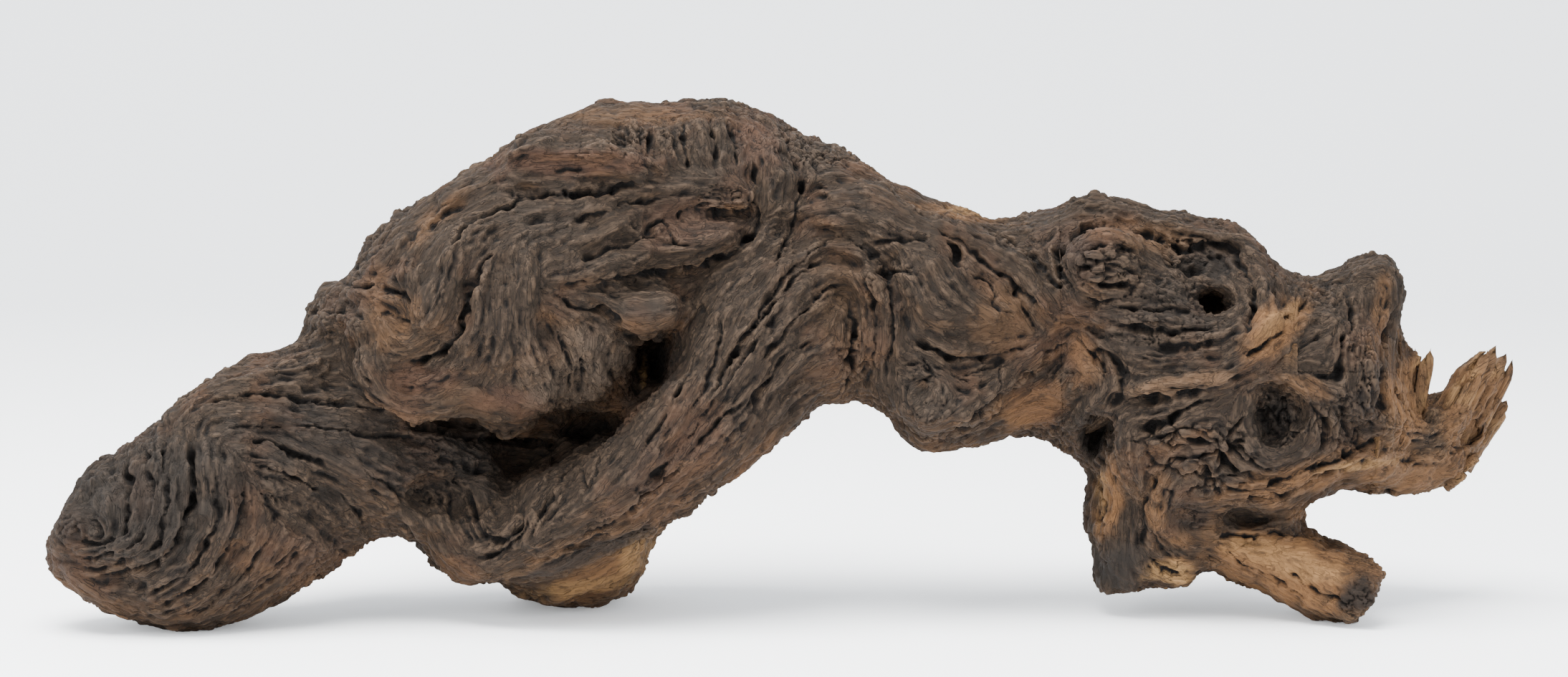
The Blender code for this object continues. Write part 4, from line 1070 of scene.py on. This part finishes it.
def fine_carving(points, quads):
    """Cracks, chunks, ring knots and the combed grain, and the values that the materials read: painted shade
    in crevices and painted highlight on ridges among them.
    """
    normals = normals_of(points, quads)
    front = facing(normals)
    blend = facing(normals, GRAIN_BLEND)[:, None]
    seen = np.flatnonzero(front > 0.01)
    places = wandering(points[seen], 2.4, 6 * MM, 2)
    stray = cloudy(points, 5 * MM, 5)
    combed = [comb(points, blend, FIELDS, step * MM, count, cell * MM, noise)
              for (step, count, cell, _), noise in zip(COMBS, NOISE[3:])]
    coarse, medium, fine = combed
    grain = sum(share * value for (_, _, _, share), value in zip(COMBS, combed))
    crack, chunk, knot, cleft = np.zeros((4, len(points)))
    vary = np.clip(0.75 + 0.42 * stray[seen], 0.2, 1.35)
    crack[seen] = carve(places, CRACKS, 0.62, 1.7, vary) * front[seen]
    chunk[seen] = broken(points[seen], places, front[seen])
    knot[seen] = rings(places, KNOTS, stray[seen]) * front[seen]
    cleft[seen] = split_open(places, SPLITS[0], vary) * front[seen]
    behind = np.flatnonzero(normals @ FORWARD > 0.0)
    knot[behind] = rings(wandering(points[behind], 5.0, 11 * MM, 1), REAR_KNOTS, stray[behind])
    knot[behind] *= 1.0 - front[behind]
    vary = np.clip(0.75 + 0.42 * stray[behind], 0.2, 1.35)
    rear_cleft = split_open(wandering(points[behind], 2.4, 6 * MM, 2), SPLITS[1], vary)
    cleft[behind] += rear_cleft * (1.0 - front[behind])
    patchy = smoothstep(-0.5, 0.9, cloudy(points, 15 * MM, 2))
    split = 0.5 * thin_lines(coarse - 0.25, 0.20) * patchy + 0.4 * thin_lines(medium + 0.3, 0.26) * patchy
    patches = coloured(points, photo_place(points), front)
    rough = 1.0 - WORN_SMOOTH * patches["worn"]
    relief = rough * (grain - split - CLEFT_SHARE * cleft)
    relief += rough * UNEVEN_SHARE * cloudy(points, 3.2 * MM, 0) - CRACK_SHARE * crack + chunk + knot
    edge = np.flatnonzero(np.abs(normals @ FORWARD) < 0.55)
    relief[edge] += crumbled(points[edge]) * (1.0 - smoothstep(0.2, 0.55, np.abs(normals[edge] @ FORWARD)))
    points = points + normals * (relief * MM)[:, None]
    sunk = ((eased(points, quads, 12) - points) * normals).sum(axis=1) / MM
    pitted = ((eased(points, quads, 3) - points) * normals).sum(axis=1) / MM
    photo = photo_place(points)
    double = field_at(photo, FIELDS[0]) * blend + field_at(photo, FIELDS[1]) * (1 - blend)
    values = {
        # painted shade: points sunk below their neighbours, clefts and cracks darkened
        "painted_crevice_shade": 0.75 * smoothstep(0.25, 1.7, sunk) + 0.6 * smoothstep(0.12, 0.6, pitted)
        + 0.45 * rough * smoothstep(0.5, 1.5, cleft) + 0.4 * smoothstep(0.7, 2.0, crack),
        # worn ridges, smoother and with painted highlight: points raised above their neighbours
        "ridge_wear_and_painted_highlight": smoothstep(0.1, 1.0, -sunk) * 0.6 + smoothstep(0.03, 0.3, -pitted) * 0.5,
        "streak": 0.5 + 0.17 * (0.8 * medium + 0.6 * fine),
        "underside": smoothstep(0.1, 0.75, -normals[:, 2]),
        "grain_way": np.column_stack([double, np.zeros(len(points))]),
    }
    values.update(patches)
    return points, values


def coloured(points, photo, front):
    """Each kind of patch: its ellipses softened and broken up by cloudy noise, and some of it behind."""
    ragged = cloudy(points, 9 * MM, 4)
    values = {}
    for number, kind in enumerate(LOOSE):
        mask = np.zeros(len(points))
        for name, column, row, half_width, half_height, turn, strength in PATCHES:
            if name == kind:
                rho = ellipse_reach(photo, column, row, half_width, half_height, turn)
                mask = np.maximum(mask, strength * (1.0 - smoothstep(0.45, 1.25, rho + 0.22 * ragged)))
        loose = smoothstep(0.7, 1.8, cloudy(points + 0.37 * (number + 1), 34 * MM, number))
        values[kind] = np.clip(mask * (0.35 + 0.65 * front) + LOOSE[kind] * loose * (1.0 - front), 0.0, 1.0)
    return values


def inside_outline(places, outline):
    """Which places lie inside an outline, by the even-odd rule."""
    inside = np.zeros(len(places), dtype=bool)
    for (c0, r0), (c1, r1) in zip(outline, outline[1:] + outline[:1]):
        if r0 == r1:
            continue
        spans = (places[:, 1] > r0) != (places[:, 1] > r1)
        crossing = c0 + (places[:, 1] - r0) * (c1 - c0) / (r1 - r0)
        inside ^= spans & (places[:, 0] < crossing)
    return inside


def rims(quads):
    """The closed rims of a patch of faces, each the points met along edges that only one face has."""
    starts = quads.ravel()
    ends = np.roll(quads, -1, axis=1).ravel()
    count = int(quads.max()) + 1
    forward, backward = starts * count + ends, ends * count + starts
    open_edges = ~np.isin(forward, backward)
    onward = {}
    for start, end in zip(starts[open_edges].tolist(), ends[open_edges].tolist()):
        onward.setdefault(start, []).append(end)
    found = []
    while onward:
        start = next(iter(onward))
        rim, here = [start], start
        while True:
            following = onward[here].pop()
            if not onward[here]:
                del onward[here]
            if following == start:
                break
            rim.append(following)
            here = following
        found.append(rim)
    return found


def thinned(points, quads, values):
    """The skin with fewer triangles where it is smooth, its values kept with the points."""
    mesh = write_mesh("skin", points, quads)
    for label, value in values.items():
        carry(mesh, label, value)
    made = with_modifier(mesh, "DECIMATE", {"ratio": TRIANGLES / (2 * len(quads))})
    made.calc_loop_triangles()
    corners = np.empty(len(made.loop_triangles) * 3, dtype=np.int64)
    made.loop_triangles.foreach_get("vertices", corners)
    points = np.empty(len(made.vertices) * 3)
    made.vertices.foreach_get("co", points)
    kept = {label: carried(made, label, value.ndim > 1) for label, value in values.items()}
    bpy.data.meshes.remove(made)
    return points.reshape(-1, 3), corners.reshape(-1, 3), kept


def carry(mesh, label, value):
    """Give a mesh's points a value each, a number or a vector."""
    kind, field = ("FLOAT_VECTOR", "vector") if value.ndim > 1 else ("FLOAT", "value")
    layer = mesh.attributes.new(label, kind, "POINT")
    layer.data.foreach_set(field, value.astype(np.float32).ravel())


def carried(mesh, label, is_vector):
    """The values that a mesh's points carry."""
    value = np.empty(len(mesh.vertices) * (3 if is_vector else 1), dtype=np.float32)
    mesh.attributes[label].data.foreach_get("vector" if is_vector else "value", value)
    return value.reshape(-1, 3) if is_vector else value


def lids(points, quads):
    """Triangles over each rim, turned to face out of the piece.

    A rim that tessellate_polygon can't fill stays open, against the next piece.
    """
    triangles = []
    for rim in rims(quads):
        rim = rim[::-1]
        corners = [Vector(points[index]) for index in rim]
        area = sum((a.cross(b) for a, b in zip(corners, corners[1:] + corners[:1])), Vector())
        for a, b, c in tessellate_polygon([corners]):
            turned = (corners[b] - corners[a]).cross(corners[c] - corners[a]).dot(area) < 0
            triangles.append((rim[a], rim[c], rim[b]) if turned else (rim[a], rim[b], rim[c]))
    return np.array(triangles, dtype=np.int64).reshape(-1, 3)


def part_at_forks(points, faces, values):
    """The skin cut into pieces at the forks, each with its surface values."""
    middles = photo_place(points[faces].mean(axis=1))
    free = np.ones(len(faces), dtype=bool)
    pieces = {}
    for name, outline in list(FORKS.items()) + [(REST, None)]:
        mine = free if outline is None else free & inside_outline(middles, outline)
        free = free & ~mine
        pieces[name] = lidded_piece(name, points, faces[mine], values)
    return pieces


def lidded_piece(name, points, faces, values):
    """One limb's own mesh: its share of the skin, and flat lids over its rims."""
    lid = lids(points, faces)
    smooth = np.arange(len(faces) + len(lid)) < len(faces)
    used, corners = np.unique(np.vstack([faces, lid]).ravel(), return_inverse=True)
    mesh = write_mesh(name, points[used], corners.reshape(-1, 3))
    mesh.polygons.foreach_set("use_smooth", smooth)
    for label, value in values.items():
        carry(mesh, label, value[used])
    mesh.validate(clean_customdata=False)
    piece = bpy.data.objects.new(name + "_wood", mesh)
    bpy.context.scene.collection.objects.link(piece)
    return piece


# Materials

class Wire:
    """A socket of a material's graph, whose arithmetic adds Math nodes."""

    def __init__(self, graph, socket):
        self.graph = graph
        self.socket = socket

    def math(self, operation, *others):
        """A Math node on this value and others."""
        sockets = {index: value for index, value in enumerate((self,) + others)}
        return self.graph.node("ShaderNodeMath", {"operation": operation}, sockets)

    def __add__(self, other):
        return self.math("ADD", other)

    __radd__ = __add__

    def __mul__(self, other):
        return self.math("MULTIPLY", other)

    __rmul__ = __mul__

    def __sub__(self, other):
        return self.math("SUBTRACT", other)

    def __rsub__(self, other):
        return self.graph.node("ShaderNodeMath", {"operation": "SUBTRACT"}, {0: other, 1: self})

    def __truediv__(self, other):
        return self.math("DIVIDE", other)

    def __pow__(self, other):
        return self.math("POWER", other)


class Graph:
    """A new material and the nodes that are added to it."""

    def __init__(self, name):
        self.material = bpy.data.materials.new(name)
        self.material.use_nodes = True
        self.tree = self.material.node_tree
        self.tree.nodes.clear()

    def node(self, kind, settings=None, sockets=None, output=0):
        """Add a node: its settings first, then the values or links of its sockets."""
        added = self.tree.nodes.new(kind)
        for setting, value in (settings or {}).items():
            setattr(added, setting, value)
        for key, value in (sockets or {}).items():
            socket = added.inputs[key] if isinstance(key, int) else self.find(added.inputs, key)
            if isinstance(value, Wire):
                self.tree.links.new(value.socket, socket)
            else:
                socket.default_value = value
        if not added.outputs:
            return None
        wanted = added.outputs[output] if isinstance(output, int) else self.find(added.outputs, output)
        return Wire(self, wanted)

    @staticmethod
    def find(sockets, key):
        """The socket with this identifier or, failing that, this name."""
        for socket in sockets:
            if socket.identifier == key:
                return socket
        return sockets[key]

    def value(self, name):
        """A number that the surface carries."""
        return self.node("ShaderNodeAttribute", {"attribute_name": name}, output="Fac")

    def mix(self, below, above, share):
        """One colour laid over another."""
        return self.node("ShaderNodeMix", {"data_type": "RGBA", "clamp_factor": True},
                         {"Factor_Float": share, "A_Color": below, "B_Color": above}, "Result_Color")

    def dot(self, vector, axis):
        """How far a vector reaches along an axis."""
        return self.node("ShaderNodeVectorMath", {"operation": "DOT_PRODUCT"}, {0: vector, 1: axis}, "Value")

    def noise(self, vector, scale, detail, roughness=0.55):
        """A noise texture's value."""
        return self.node("ShaderNodeTexNoise", {}, {
            "Vector": vector, "Scale": scale, "Detail": detail, "Roughness": roughness,
        }, "Fac")

    def steps(self, value, low, high):
        """A value brought from between low and high to between 0 and 1, with eased ends."""
        return self.node("ShaderNodeMapRange", {"interpolation_type": "SMOOTHSTEP"}, {
            "Value": value, "From Min": low, "From Max": high, "To Min": 0.0, "To Max": 1.0,
        })


# How many fixed ways the fibres are drawn in, how far they are drawn out along the grain, and how
# sharply each way takes over where the grain is near it
FIBRE_WAYS = 6
FIBRE_SQUEEZE = 0.9
FIBRE_SHARPNESS = 9.0


def fibres(graph, place, scale, detail):
    """Noise drawn out along the grain: six fixed ways of it, blended by how near each is to it."""
    turned = graph.node("ShaderNodeAttribute", {"attribute_name": "grain_way"}, output="Vector")
    total, weights = 0.0, 0.0
    for number in range(FIBRE_WAYS):
        angle = math.pi * number / FIBRE_WAYS
        double = (math.cos(2 * angle), math.sin(2 * angle), 0.0)
        axis = (math.cos(angle), 0.0, -math.sin(angle))
        weight = (graph.dot(turned, double) * 0.5 + 0.5).math("MAXIMUM", 0.0) ** FIBRE_SHARPNESS
        along = graph.dot(place, axis)
        drawn = graph.node("ShaderNodeVectorMath", {"operation": "SCALE"},
                           {0: axis, "Scale": along * -FIBRE_SQUEEZE})
        squeezed = graph.node("ShaderNodeVectorMath", {"operation": "ADD"}, {0: place, 1: drawn})
        total = graph.noise(squeezed, scale, detail) * weight + total
        weights = weight + weights
    return total / weights


def fissures(value, width):
    """1 on the thin lines where fibre noise passes through its middle, 0 a little way off."""
    away = (value - 0.5).math("ABSOLUTE")
    return value.graph.steps(away, width, 0.0)


# The wood's colours besides its ground and crest; the crest also serves as painted highlight on ridges
FOXED = (0.047, 0.0235, 0.0128, 1.0)
GREY_WOOD = (0.0205, 0.0180, 0.0155, 1.0)
RED_WOOD = (0.058, 0.028, 0.0175, 1.0)
# pale dust, and painted light on the shaded burl front
PALE_DUST_AND_PAINTED_LIGHT = (0.070, 0.051, 0.037, 1.0)
INNER_WOOD = (0.118, 0.0575, 0.0228, 1.0)
PALE_WOOD = (0.250, 0.146, 0.060, 1.0)
STREAK = (0.011, 0.008, 0.006, 1.0)
# near black for scorched wood, and for painted shade in hollows and under overhangs
SCORCHED_AND_PAINTED_SHADE = (0.0070, 0.0058, 0.0050, 1.0)
# near black for open grain lines, and for painted shade in crevices
CREASE_AND_PAINTED_SHADE = (0.005, 0.004, 0.0035, 1.0)
FLECK = (0.13, 0.098, 0.070, 1.0)

BUMP_STRENGTH = 0.9
BUMP_DEPTH = 0.9 * MM
SHEEN = 0.14

# How many times each pattern repeats in a metre
STRAND_SCALE = 760.0
THREAD_SCALE = 2300.0
BAND_SCALE = 260.0
SPECKLE_SCALE = 900.0
CLOUD_SCALE = 30.0


def wood(name, ground, crest_and_highlight, roughness):
    """Weathered wood: brown with paler crests and painted highlight on worn ridges, dark grain lines,
    painted shade in crevices and hollows, painted light on one shaded front, coloured patches and fine
    fibres.
    """
    graph = Graph(name)
    place = graph.node("ShaderNodeTexCoord", {}, output="Object")
    strand = fibres(graph, place, STRAND_SCALE, 3.0)
    thread = fibres(graph, place, THREAD_SCALE, 2.0)
    band = fibres(graph, place, BAND_SCALE, 2.0)
    speckle = graph.noise(place, SPECKLE_SCALE, 4.0, 0.7)
    cloud = graph.noise(place, CLOUD_SCALE, 4.0, 0.6)
    open_grain = fissures(band, 0.020) * graph.steps(strand, 0.36, 0.60)
    hairline = fissures(strand, 0.016)
    # paler crests: standing fibres, and worn ridges with painted highlight
    crest_and_highlight_share = graph.value("ridge_wear_and_painted_highlight") * 0.55 + graph.steps(strand * 0.6 + thread * 0.4, 0.40, 0.70) * 0.45
    colour = graph.mix(ground, crest_and_highlight, crest_and_highlight_share - 0.04)
    colour = graph.mix(colour, FOXED, graph.steps(cloud, 0.50, 0.68) * 0.5)
    colour = graph.mix(colour, GREY_WOOD, graph.value("grey") * 0.45)
    colour = graph.mix(colour, RED_WOOD, graph.value("red") * 0.7)
    # pale dust, and painted light on the shaded burl front
    colour = graph.mix(colour, PALE_DUST_AND_PAINTED_LIGHT, graph.value("dust_and_painted_light") * (strand * 0.6 + 0.35))
    under = graph.value("underside") * graph.steps(cloud + strand * 0.5, 0.55, 0.95)
    orange = graph.value("orange").math("MAXIMUM", under * 0.28)
    bare = orange * (strand * 0.9 + speckle * 0.5 + 0.1)
    colour = graph.mix(colour, INNER_WOOD, bare)
    pale = graph.value("ochre") * (thread * 0.8 + strand * 0.8)
    colour = graph.mix(colour, PALE_WOOD, pale)
    dark_streak = graph.steps(graph.value("streak") * 0.4 + strand * 0.6, 0.45, 0.30)
    colour = graph.mix(colour, STREAK, dark_streak * 0.6)
    # scorched wood, and painted shade in hollows, notches and under overhangs
    colour = graph.mix(colour, SCORCHED_AND_PAINTED_SHADE, graph.value("char_and_painted_shade") * 0.92)
    lines = (open_grain * 0.75).math("MAXIMUM", hairline * 0.45) * (1.0 - graph.value("worn") * 0.5)
    colour = graph.mix(colour, CREASE_AND_PAINTED_SHADE, lines)
    # painted shade laid into crevices, clefts and cracks
    colour = graph.mix(colour, CREASE_AND_PAINTED_SHADE, graph.value("painted_crevice_shade") * 0.85)
    fleck = graph.steps(speckle * 0.6 + thread * 0.6, 0.76, 0.88)
    colour = graph.mix(colour, FLECK, fleck * 0.25)
    height = strand * 0.8 + thread * 0.3 + speckle * 0.2 - open_grain * 0.7 - hairline * 0.3
    height = height * (1.0 - graph.value("worn") * 0.7)
    bump = graph.node("ShaderNodeBump", {}, {
        "Strength": BUMP_STRENGTH,
        "Distance": BUMP_DEPTH,
        "Height": height,
    }, "Normal")
    shader = graph.node("ShaderNodeBsdfPrincipled", {}, {
        "Base Color": colour,
        "Roughness": graph.value("ridge_wear_and_painted_highlight") * -0.14 + roughness,
        "Normal": bump,
        "Specular IOR Level": SHEEN,
    }, "BSDF")
    graph.node("ShaderNodeOutputMaterial", {}, {"Surface": shader})
    return graph.material


def plain(name, colour, roughness, glow):
    """A stage material of one colour, which glows a little to keep the shadows soft."""
    graph = Graph(name)
    shader = graph.node("ShaderNodeBsdfPrincipled", {}, {
        "Base Color": colour,
        "Roughness": roughness,
        "Emission Color": colour,
        "Emission Strength": glow,
    }, "BSDF")
    graph.node("ShaderNodeOutputMaterial", {}, {"Surface": shader})
    return graph.material


# The arm's broken end: each blade's foot and tip in the photograph, how far back each lies from the
# root's middle in millimetres, then its width in pixels and its thickness in millimetres
BLADES = [
    (2006, 640, 2083, 482, 8, 6, 26, 9),
    (2026, 632, 2098, 494, 16, 18, 24, 9),
    (2036, 640, 2112, 502, 22, 20, 20, 8),
    (1996, 640, 2050, 512, 6, 4, 24, 8),
    (2044, 640, 2099, 557, 28, 31, 20, 8),
    (2040, 652, 2096, 572, 30, 32, 20, 7),
    (2022, 655, 2058, 632, 16, 10, 26, 9),
    (2012, 672, 2040, 655, 12, 8, 26, 9),
    (1955, 640, 1972, 488, 2, 1, 22, 8),
    (1966, 640, 1993, 487, 6, 3, 20, 8),
    (1946, 640, 1962, 500, 2, 0, 18, 7),
    (2010, 610, 2066, 520, 2, 0, 16, 5),
    (2018, 600, 2074, 500, 12, 10, 12, 5),
    (2032, 600, 2086, 512, 24, 24, 16, 6),
]
BLADE_STATIONS = 18
BLADE_SIDES = 10
BLADE_SPLITS = 2


def place_at(column, row, depth):
    """The place seen at a column and row, at a depth behind the root's middle."""
    eye = AIM - FORWARD * VIEW_DISTANCE
    reach = VIEW_DISTANCE / PIXEL
    ray = FORWARD + UPWARD * (FRAME_ROWS / 2 - row) / reach
    ray = ray + np.array([1.0, 0.0, 0.0]) * (column - FRAME_COLUMNS / 2) / reach
    return eye + ray * (AIM[1] + depth - eye[1]) / ray[1]


def blade(foot, tip, width, thickness):
    """A splinter: station s and angle a give a point on a tube from foot to tip.

    It is foot + s (tip - foot) + w(s) cos a across + t(s) sin a through.
    w and t are flat boxes to the power 1/3 of the cosine and sine, ridged along their length, and
    narrow to a ragged tip where the splinter snapped.
    """
    s = np.linspace(0.0, 1.0, BLADE_STATIONS)[:, None]
    a = np.linspace(0.0, 2.0 * math.pi, BLADE_SIDES, endpoint=False)[None, :]
    along = tip - foot
    length = np.linalg.norm(along)
    across = np.cross(along / length, (0.0, -1.0, 0.0))
    through = np.cross(across, along / length)
    ridges = 1.0 + 0.13 * np.repeat(rng.standard_normal((1, BLADE_SIDES)), BLADE_STATIONS, axis=0)
    ridges += 0.05 * rng.standard_normal((BLADE_STATIONS, BLADE_SIDES))
    narrow = np.clip(1.0 - s ** 22, 0.0, 1.0) ** 0.6 * (1.0 - 0.22 * s)
    flat_cos = np.sign(np.cos(a)) * np.abs(np.cos(a)) ** 0.5
    flat_sin = np.sign(np.sin(a)) * np.abs(np.sin(a)) ** 0.5
    ragged = rng.uniform(-0.05, 0.02, (1, BLADE_SIDES)) * s ** 4
    wander = 0.06 * length * np.sin(2.2 * s + rng.uniform(0.0, 6.0)) * s * (1.0 - s)
    x = 0.5 * width * narrow * flat_cos * ridges + wander
    y = 0.5 * thickness * narrow * flat_sin * ridges
    points = foot + (s + ragged)[..., None] * along + x[..., None] * across + y[..., None] * through
    return points.reshape(-1, 3)


def tube_faces(stations, sides):
    """The triangles of a closed tube of rings, with a fan at each end."""
    ring, side = np.meshgrid(np.arange(stations - 1), np.arange(sides), indexing="ij")
    after = (side + 1) % sides
    a, b = ring * sides + side, ring * sides + after
    c, d = (ring + 1) * sides + after, (ring + 1) * sides + side
    walls = np.concatenate([np.stack([a, b, c], -1).reshape(-1, 3), np.stack([a, c, d], -1).reshape(-1, 3)])
    rim = np.arange(1, sides - 1)
    foot = np.stack([np.zeros_like(rim), rim + 1, rim], axis=1)
    top = np.stack([np.zeros_like(rim), rim, rim + 1], axis=1) + (stations - 1) * sides
    return np.vstack([walls, foot, top])


def splinters(low, high):
    """Every blade and the slivers split off beside it, as one piece of closed tubes."""
    points, faces = [], []
    tube = tube_faces(BLADE_STATIONS, BLADE_SIDES)
    for c0, r0, c1, r1, d0, d1, width, thickness in BLADES:
        foot, tip = place_at(c0, r0, d0 * MM), place_at(c1, r1, d1 * MM)
        across = np.cross((tip - foot) / np.linalg.norm(tip - foot), (0.0, -1.0, 0.0))
        for number in range(BLADE_SPLITS):
            share = (number + 0.5) / BLADE_SPLITS - 0.5
            aside = across * share * width * PIXEL
            back = np.array([0.0, rng.uniform(-0.3, 0.3) * thickness * MM, 0.0])
            short = 1.0 - 0.16 * rng.random() * (number != BLADE_SPLITS // 2)
            end = foot + (tip - foot) * short + aside * 0.8 + back
            made = blade(foot + aside + back, end, 1.6 * width * PIXEL / BLADE_SPLITS, 0.8 * thickness * MM)
            faces.append(tube + len(points) * len(made))
            points.append(made)
    points = np.clip(np.vstack(points), low, high)
    faces = np.vstack(faces)
    values = {name: np.zeros(len(points)) for name in ("painted_crevice_shade", "ridge_wear_and_painted_highlight", "underside") + tuple(LOOSE)}
    # a little painted highlight and wear over all the slivers
    values["ridge_wear_and_painted_highlight"] += 0.35
    values["orange"] += 0.4 + 0.3 * smoothstep(-0.5, 1.0, cloudy(points, 9 * MM, 1))
    values["ochre"] += 0.3 * smoothstep(-0.2, 1.0, cloudy(points, 7 * MM, 3))
    values["streak"] = 0.5 + 0.12 * cloudy(points, 3 * MM, 2)
    double = field_at(photo_place(points), FIELDS[0])
    values["grain_way"] = np.column_stack([double, np.zeros(len(points))])
    return lidded_piece("splinters", points, faces, values)


def woods():
    """The two finishes of the record, by the names of their slots."""
    return {
        "dark_wood": wood("dark_wood", (0.0128, 0.0084, 0.0053, 1.0), (0.0515, 0.0330, 0.0205, 1.0), 0.86),
        "bare_wood": wood("bare_wood", (0.024, 0.0148, 0.0084, 1.0), (0.088, 0.0525, 0.0280, 1.0), 0.82),
    }


def finished(piece, node, slot, finishes):
    """Give a piece its slot's material, hang it under the root, and hide the node that it stands for."""
    piece.data.materials.append(finishes[slot])
    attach(piece, "root")
    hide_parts(node)


def dress():
    """Build the skin, cut it at the forks, and add the broken blades of the arm."""
    low, high = (np.array(corner) for corner in cad_box)
    finishes = woods()
    points, quads = fine_skin()
    points, values = fine_carving(points, quads)
    points, faces, values = thinned(points, quads, values)
    points = np.clip(points, low, high)
    for name, piece in part_at_forks(points, faces, values).items():
        node = next(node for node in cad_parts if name.startswith(node))
        finished(piece, node, "bare_wood" if name in BARE else "dark_wood", finishes)
    finished(splinters(low, high), "splinter_arm", "bare_wood", finishes)


# The stage

FLOOR_SIZE = 8.0
BACKDROP_BEND = 1.2
PAPER = (0.95, 0.965, 0.98, 1.0)
PAPER_GLOW = 0.22
SKY = (0.93, 0.96, 1.0, 1.0)
SKY_STRENGTH = 1.95


def backdrop():
    """A pale floor that bends up into a wall: its profile carried sideways."""
    bend = np.linspace(0.0, math.pi / 2, 13)
    y = np.concatenate([[-FLOOR_SIZE], 1.6 + BACKDROP_BEND * np.sin(bend), [1.6 + BACKDROP_BEND]])
    z = np.concatenate([[0.0], BACKDROP_BEND * (1.0 - np.cos(bend)), [5.0]])
    x = np.array([-FLOOR_SIZE, FLOOR_SIZE])
    points = np.stack([np.repeat(x, len(y)), np.tile(y, 2), np.tile(z, 2)], axis=1)
    index = np.arange(len(y) - 1)
    quads = np.stack([index, index + len(y), index + len(y) + 1, index + 1], axis=1)
    sheet = bpy.data.objects.new("backdrop", write_mesh("backdrop", points, quads))
    sheet.data.materials.append(plain("pale_paper", PAPER, 0.9, PAPER_GLOW))
    bpy.context.scene.collection.objects.link(sheet)


# Lamps: name, place, width and height in metres, power in watts and colour
LAMPS = [
    ("overhead", (-0.35, -0.40, 1.5), (1.4, 1.0), 106.0, (1.0, 0.99, 0.97)),
    ("left_front", (-1.5, -1.3, 0.9), (1.0, 1.0), 30.0, (1.0, 0.99, 0.98)),
    ("right_front", (1.6, -1.1, 0.7), (1.0, 1.0), 20.0, (0.97, 0.985, 1.0)),
]
LAMP_TARGET = (0.0, 0.0, 0.1)


def lamp(name, place, size, watts, colour):
    """A soft four-sided lamp turned towards the root."""
    light = bpy.data.lights.new(name, "AREA")
    light.shape = "RECTANGLE"
    light.size, light.size_y = size
    light.energy = watts
    light.color = colour
    thing = bpy.data.objects.new(name, light)
    thing.location = place
    thing.rotation_euler = (Vector(LAMP_TARGET) - Vector(place)).to_track_quat("-Z", "Y").to_euler()
    bpy.context.scene.collection.objects.link(thing)


def studio():
    """Soft light from above and the front, a pale surround, and the camera of the photograph."""
    for name, place, size, watts, colour in LAMPS:
        lamp(name, place, size, watts, colour)
    world = bpy.data.worlds.new("studio")
    world.use_nodes = True
    background = world.node_tree.nodes["Background"]
    background.inputs["Color"].default_value = SKY
    background.inputs["Strength"].default_value = SKY_STRENGTH
    bpy.context.scene.world = world
    camera = bpy.data.cameras.new("camera")
    camera.sensor_fit = "HORIZONTAL"
    camera.sensor_width = SENSOR_WIDTH
    camera.lens = SENSOR_WIDTH * VIEW_DISTANCE / PIXEL / FRAME_COLUMNS
    thing = bpy.data.objects.new("camera", camera)
    thing.location = AIM - FORWARD * VIEW_DISTANCE
    thing.rotation_euler = (math.pi / 2 - VIEW_PITCH, 0.0, 0.0)
    bpy.context.scene.collection.objects.link(thing)
    bpy.context.scene.camera = thing


dress()
backdrop()
studio()
